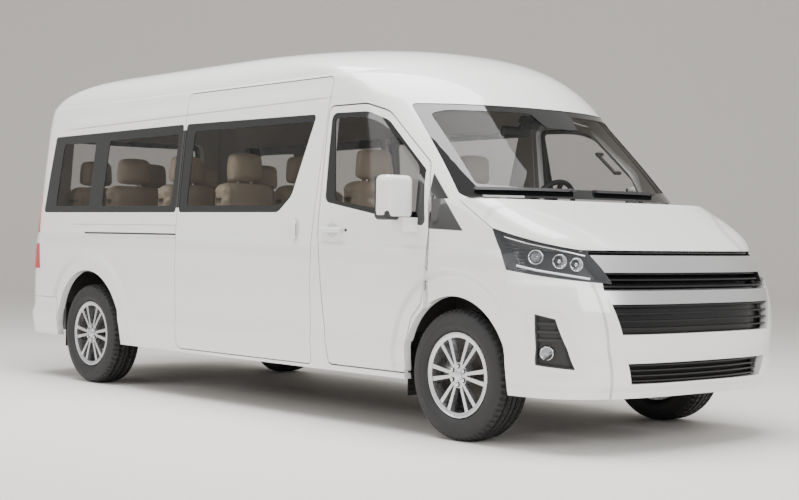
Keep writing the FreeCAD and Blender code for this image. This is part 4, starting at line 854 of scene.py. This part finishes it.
# Steering wheel
# The rim is in stitched leather; a padded boss without a badge, two switch pads and the shroud.
wheel_leather = Finish("wheel_leather", (0.025, 0.024, 0.023), 0.5)
wheel_leather.relief(wheel_leather.noise(1200), 0.0004)
wheel_leather.gloss(50, 0.2, 0.4)
dress(wheel_leather, "steering_wheel")
tilt = math.radians(28)
column = Vector((-math.cos(tilt), 0, math.sin(tilt)))
hub = at(-0.6, 0.42, 1.285)
boss = drum("boss", wheel_leather, hub + column * 0.012, column, 0.078, 0.05, 0.018)
pads = [block("pad", gloss_black, hub + Vector((0, side * 0.105, 0)) + column * 0.010, (0.012, 0.05, 0.03), 0.005,
              (0, -tilt, 0)) for side in (-1, 1)]
joined("wheel_boss", [boss] + pads, "steering_wheel")
shroud = [drum("shroud", dash_skin, hub - column * 0.10, column, 0.055, 0.12, 0.014, 0.045)]
for side, sign in (("wiper", -1), ("lights", 1)):
    stalk = hub - column * 0.075 + Vector((0, sign * 0.10, 0.01))
    shroud.append(drum(side, matt_black, stalk, (0, 1, 0.12 * sign), 0.007, 0.13, 0.002, vertices=16))
joined("column_shroud", shroud)


# Cabin lining
# A mirror on its arm and a sensor cover at the screen, and a grab handle on each front post.
mirror_shell = Finish("mirror_shell", (0.03, 0.03, 0.03), 0.4).grain(900, 0.0003)
pieces = [block("mirror", mirror_shell, at(-0.50, 0.0, 1.74), (0.035, 0.24, 0.065), 0.016, (0, 0.12, 0)),
          block("silvering", mirror_glass, at(-0.519, 0.0, 1.737), (0.004, 0.225, 0.052), 0.0015, (0, 0.12, 0)),
          drum("arm", mirror_shell, at(-0.455, 0.0, 1.775), (0.7, 0, 0.5), 0.010, 0.09, 0.003),
          block("sensor", mirror_shell, at(-0.385, 0.0, 1.79), (0.09, 0.12, 0.05), 0.014, (0, 0.75, 0))]
joined("cabin_mirror", pieces)


def grab_handle(name, start, end):
    """A bar bowed into the cabin between two feet."""
    run = end - start
    inward = Vector((0, -math.copysign(0.045, start.y), 0))
    pieces = [drum("bar", lining_dark, (start + end) / 2 + inward, run, 0.011, run.length, 0.004, vertices=20)]
    for point in (start, end):
        pieces.append(drum("foot", lining_dark, point + inward / 2, inward, 0.012, 0.06, 0.003, vertices=20))
    return joined(name, pieces)


lining_dark = Finish("dark_lining", (0.08, 0.078, 0.075), 0.6).grain(900, 0.0003)
for side, sign in both_sides:
    grab_handle("grab_handle_" + side, at(-0.50, sign * 0.79, 1.64), at(-0.36, sign * 0.80, 1.52))


# Tail lamps
# Red lenses with a clear band for the reversing lamp, and ribs that show through them.
tail_red = Finish("red_tail_lens", (0.50, 0.006, 0.008), 0.07, coat_weight=1.0, coat_roughness=0.02)
z = tail_red.place()[2]
ribs = z.stripes(70, 0.1, 0.4)
band = z.ramp(1.000, 1.003) * z.ramp(1.085, 1.082)
seams = (z - 1.0).ridge(0.003).math("MAXIMUM", (z - 1.085).ridge(0.003)).math("MAXIMUM", (z - 0.905).ridge(0.003))
red = tail_red.mix(ribs, (0.42, 0.004, 0.005), (0.66, 0.012, 0.012))
tail_red.look(base_color=tail_red.mix(band, red, (0.72, 0.70, 0.68)))
tail_red.gloss(50, 0.05, 0.05)
tail_red.relief(ribs * 0.4 - seams, 0.002)
dress(tail_red, "tail_lamps")

# The wing: a sheet pressed onto the body's side behind the quarter window, then thickened outwards
bpy.ops.mesh.primitive_grid_add(x_subdivisions=16, y_subdivisions=48, size=1,
                                location=at(-4.612, -1.1, 1.095), rotation=(math.radians(90), 0, 0))
bpy.context.object.scale = (0.124, 0.56, 1)
fix()
sheet = bpy.context.object
for vertex in sheet.data.vertices:
    rise = (vertex.co.z - 0.815) / 0.56
    vertex.co.x -= (vertex.co.x - (front_axle - 4.674)) * 0.3 * rise
modify("SHRINKWRAP", wrap_method="PROJECT", use_project_x=False, use_project_y=True, use_project_z=False,
       use_positive_direction=True, use_negative_direction=False, target=nodes["side_panel_right"],
       offset=0.0005)
modify("SOLIDIFY", thickness=0.005, offset=1)
moved_copy(settle("tail_lamp_wing_right", "body", tail_red, 40), "tail_lamp_wing_left")


# Tailgate
# A blank plate on its two bolts, lamps and a grip above it, a wiper and a high brake lamp.
blank_plate = Finish("blank_plate", (0.60, 0.60, 0.58), 0.4).grain(500, 0.0003)
face = front_axle - 4.872
lean = (0, 0.14, 0)
pieces = [block("plate_frame", matt_black, (face - 0.005, 0, 1.088), (0.010, 0.48, 0.165), 0.005, lean),
          block("plate", blank_plate, (face - 0.0105, 0, 1.088), (0.004, 0.44, 0.135), 0.0015, lean),
          block("grip", matt_black, (face - 0.006, 0, 1.205), (0.040, 0.50, 0.034), 0.012),
          block("grip_strip", chrome, (face - 0.0265, 0, 1.211), (0.006, 0.46, 0.012), 0.002),
          block("brake_lamp", tail_red, at(-4.849, 0, 1.872), (0.016, 0.36, 0.026), 0.006),
          drum("wiper_boss", matt_black, at(-4.864, 0, 1.262), (-1, 0, 0.05), 0.026, 0.034, 0.006),
          drum("wiper_arm", matt_black, at(-4.876, 0.135, 1.303), (0, 1, 0.28), 0.0065, 0.28, 0.002, 0.004, 16),
          block("wiper_blade", matt_black, at(-4.864, 0.20, 1.325), (0.018, 0.40, 0.012), 0.003, (0.24, 0, -0.05))]
for side in (-1, 1):
    pieces.append(block("plate_lamp", glow, (face - 0.016, side * 0.13, 1.186), (0.014, 0.07, 0.008), 0.002))
    pieces.append(drum("plate_bolt", chrome, (face - 0.013, side * 0.105, 1.100), (-1, 0, 0.14), 0.007,
                       0.005, 0.0015, vertices=24))
    pieces.append(drum("jet", matt_black, at(-4.853, side * 0.025, 1.845), (-1, 0, 0), 0.006,
                       0.012, 0.002, vertices=20))
joined("tailgate_parts", pieces, "tailgate")


# Rear bumper
# A ribbed step pad along its top, two reflectors and four parking sensors.
pieces = [nose_arc("step_pad", matt_black, 0.520 + 0.014 * index, 0.006, 0.012, 0.56, -4.9475 + 0.007 * index,
                   -0.052) for index in range(2)]
for side in (-1, 1):
    pieces.append(block("reflector", tail_red, at(-4.872, side * 0.68, 0.425), (0.012, 0.15, 0.030),
                        0.004, (0, 0, side * -0.28)))
    for spot, back in ((0.22, 4.947), (0.52, 4.913)):
        pieces.append(drum("sensor", matt_black, (front_axle - back, side * spot, 0.455),
                           (-1, side * 0.1 * spot, 0), 0.011, 0.012, 0.002, vertices=28))
joined("rear_bumper_parts", pieces)


# Floor
# Ribbed vinyl mat above, stone-chip coating with pressed ribs below.
mat = Finish("floor_mat", (0.060, 0.058, 0.055), 0.75)
y = mat.place()[1]
mat.relief(y.stripes(38, 0.1, 0.3) * 0.6 + mat.noise(700) * 0.3, 0.0015)
mat.gloss(4, 0.15, 0.65)
coating = Finish("stone_chip_coating", (0.055, 0.056, 0.058), 0.7)
x, y, _ = coating.place()
pressed = x.stripes(3.2, 0.16, 0.22) * (abs(y) - 0.40).ramp(0.02, -0.02)
coating.relief(pressed + coating.noise(220) * 0.12, 0.012)
coating.tones(3, (0.045, 0.046, 0.048), (0.085, 0.078, 0.070))
coating.gloss(30, 0.2, 0.55)
dress(coating, "floor_pan", inner=mat)


# Frame, axles and springs
# Black enamel on the rails, cast iron on the axle and hubs, and leaves marked one above another.
enamel = Finish("black_enamel", (0.020, 0.020, 0.021), 0.4, coat_weight=0.3).grain(90, 0.0006)
dress(enamel, "chassis_frame")
iron = Finish("cast_iron", (0.085, 0.080, 0.075), 0.6, metallic=0.5).grain(260, 0.0010)
iron.tones(12, (0.070, 0.068, 0.066), (0.120, 0.098, 0.080))
dress(iron, "front_suspension", "rear_axle", "knuckle_left", "knuckle_right")
leaf = Finish("spring_leaves", (0.045, 0.044, 0.044), 0.5, metallic=0.4)
x, _, z = leaf.place()
arc = (x + wheelbase).math("POWER", 2) * 0.11
leaf.relief(((z - arc) * 125).math("FRACT").ramp(0.0, 0.2), 0.002)
leaf.gloss(60, 0.25, 0.4)
dress(leaf, "leaf_springs")
spring_reach, flap_reach = 0.495, 0.775

# Plates and U-bolts round the spring and the axle, with nuts below, and a band near each end.
for side in (-1, 1):
    pieces = [block("plate", enamel, (rear_axle, side * spring_reach, 0.434), (0.15, 0.085, 0.012), 0.003)]
    for step in (-0.055, 0.055):
        for across_ in (-0.036, 0.036):
            spot = (rear_axle + step, side * spring_reach + across_, 0.365)
            pieces.append(drum("bolt", dark_metal, spot, (0, 0, 1), 0.006, 0.16, vertices=16))
            pieces.append(drum("nut", dark_metal, (spot[0], spot[1], 0.447), (0, 0, 1), 0.011, 0.010, 0, None, 6))
    for step in (-0.42, 0.42):
        pieces.append(block("band", enamel, (rear_axle + step, side * spring_reach, 0.447), (0.025, 0.066, 0.034),
                            0.003))
    joined("spring_clamps_" + ("left" if side > 0 else "right"), pieces)


# Engine, driveline, tank and exhaust
# Plain cast and pressed surfaces, with tank straps, exhaust hangers and a tray under the nose.
alloy_case = Finish("cast_case", (0.30, 0.30, 0.30), 0.5, metallic=0.8)
x, _, z = alloy_case.place()
case_ribs = x.stripes(14, 0.36, 0.42) * (z - 0.34).ramp(0, 0.02)
alloy_case.relief(case_ribs + alloy_case.noise(300) * 0.15, 0.006)
alloy_case.gloss(8, 0.2, 0.4)
dress(alloy_case, "engine_block")
steel = Finish("drawn_steel", (0.22, 0.21, 0.20), 0.4, metallic=0.9)
x = steel.place()[0]
steel.tones(2.5, (0.25, 0.24, 0.23), (0.20, 0.15, 0.11))
steel.gloss(40, 0.2, 0.3)
steel.relief(x.stripes(9, 0.47, 0.49), 0.002)
dress(steel, "propshaft", "exhaust_pipe")
tank_skin = Finish("fuel_tank_skin", (0.025, 0.025, 0.026), 0.5)
x = tank_skin.place()[0]
tank_skin.relief(x.stripes(5, 0.2, 0.26) + tank_skin.noise(500) * 0.1, 0.006)
tank_skin.gloss(6, 0.15, 0.42)
dress(tank_skin, "fuel_tank")
pieces = []
for strap in (-0.335, 0.045):
    pieces.append(block("tank_strap", dark_metal, (strap, 0.221, 0.3025), (0.032, 0.300, 0.003), 0.001))
    for edge in (0.0625, 0.3795):
        pieces.append(block("strap_side", dark_metal, (strap, edge, 0.414), (0.032, 0.003, 0.205), 0.001))
for station in (-1.55, -2.05, -2.45):
    pieces.append(drum("hanger", dark_metal, at(station, -0.545, 0.50), (0, 0.1, 1), 0.005, 0.05, vertices=16))
    pieces.append(hoop("hanger_ring", dark_metal, at(station, -0.544, 0.414), (1, 0, 0),
                       0.078 if station == -2.05 else 0.028, 0.004, 40))
joined("under_parts", pieces)
block("nose_tray", matt_black, at(0.735, 0, 0.296), (0.25, 0.90, 0.008), 0.003, body="body")


# Spare wheel and flaps
# A rubber ring on a pressed steel dish, and ribbed rubber flaps behind the wheels.
spare = Finish("spare_wheel_skin", (0.02, 0.02, 0.021), 0.7)
x, y, _ = spare.place()
from_hub = ((x + 4.4675).math("POWER", 2) + y.math("POWER", 2)).math("SQRT")
dish = from_hub.ramp(0.222, 0.218)
groove = from_hub.stripes(62, 0.38, 0.44) * (1 - dish)
spare.relief(spare.noise(400) * 0.1 - groove, 0.005)
spare.look(base_color=spare.mix(dish, (0.018, 0.018, 0.019), (0.14, 0.14, 0.145)),
           metallic=dish * 0.6, roughness=spare.noise(20) * 0.15 + 0.6 - dish * 0.2)
dress(spare, "spare_wheel")
flap = Finish("flap_rubber", (0.017, 0.017, 0.018), 0.65)
z = flap.place()[2]
flap.relief(z.stripes(30, 0.35, 0.45), 0.003)
flap.gloss(30, 0.2, 0.55)
dress(flap, "mud_flaps")
for end, station in (("front", -0.4485), ("rear", -4.3085)):
    for side in (-1, 1):
        plate = [block("clamp", dark_metal, (front_axle + station - 0.0105, side * flap_reach, 0.535),
                       (0.003, 0.18, 0.022), 0.001)]
        for step in (-0.06, 0, 0.06):
            plate.append(drum("bolt", dark_metal, (front_axle + station - 0.013, side * flap_reach + step, 0.535),
                              (1, 0, 0), 0.006, 0.006, vertices=6))
        joined("flap_clamp_%s_%s" % (end, "left" if side > 0 else "right"), plate)


# Wipers
# The blades lie along the foot of the screen; each has a capped spindle.
dress(matt_black, "wipers")
caps = []
for spot, ahead_ in ((0.40, 0.2235), (-0.31, 0.2385)):
    caps.append(drum("spindle", matt_black, at(ahead_, spot, 1.372), (0.73, 0.12 * spot, 0.68),
                     0.012, 0.008, 0.003, vertices=28))
joined("wiper_spindles", caps)


# Door trims
# Each front door has an arm rest with switches, a catch in a cup, a bin and a speaker.
for side, sign in both_sides:
    skin = sign * 0.915
    dark = [block("arm_rest", dash_skin, at(-0.72, skin - sign * 0.022, 0.985), (0.46, 0.06, 0.055), 0.016),
            block("switches", gloss_black, at(-0.60, skin - sign * 0.026, 1.0135), (0.13, 0.034, 0.006), 0.002),
            block("bin", dash_skin, at(-0.70, skin - sign * 0.010, 0.66), (0.58, 0.045, 0.13), 0.012),
            drum("speaker", matt_black, at(-0.46, skin - sign * 0.001, 0.83), (0, -sign, 0), 0.075, 0.016, 0.004),
            block("catch_cup", gloss_black, at(-0.62, skin - sign * 0.003, 1.085), (0.13, 0.012, 0.05), 0.004),
            block("catch", satin_trim, at(-0.61, skin - sign * 0.012, 1.085), (0.075, 0.010, 0.018), 0.004)]
    joined("door_trim_" + side, dark, "door_" + side)
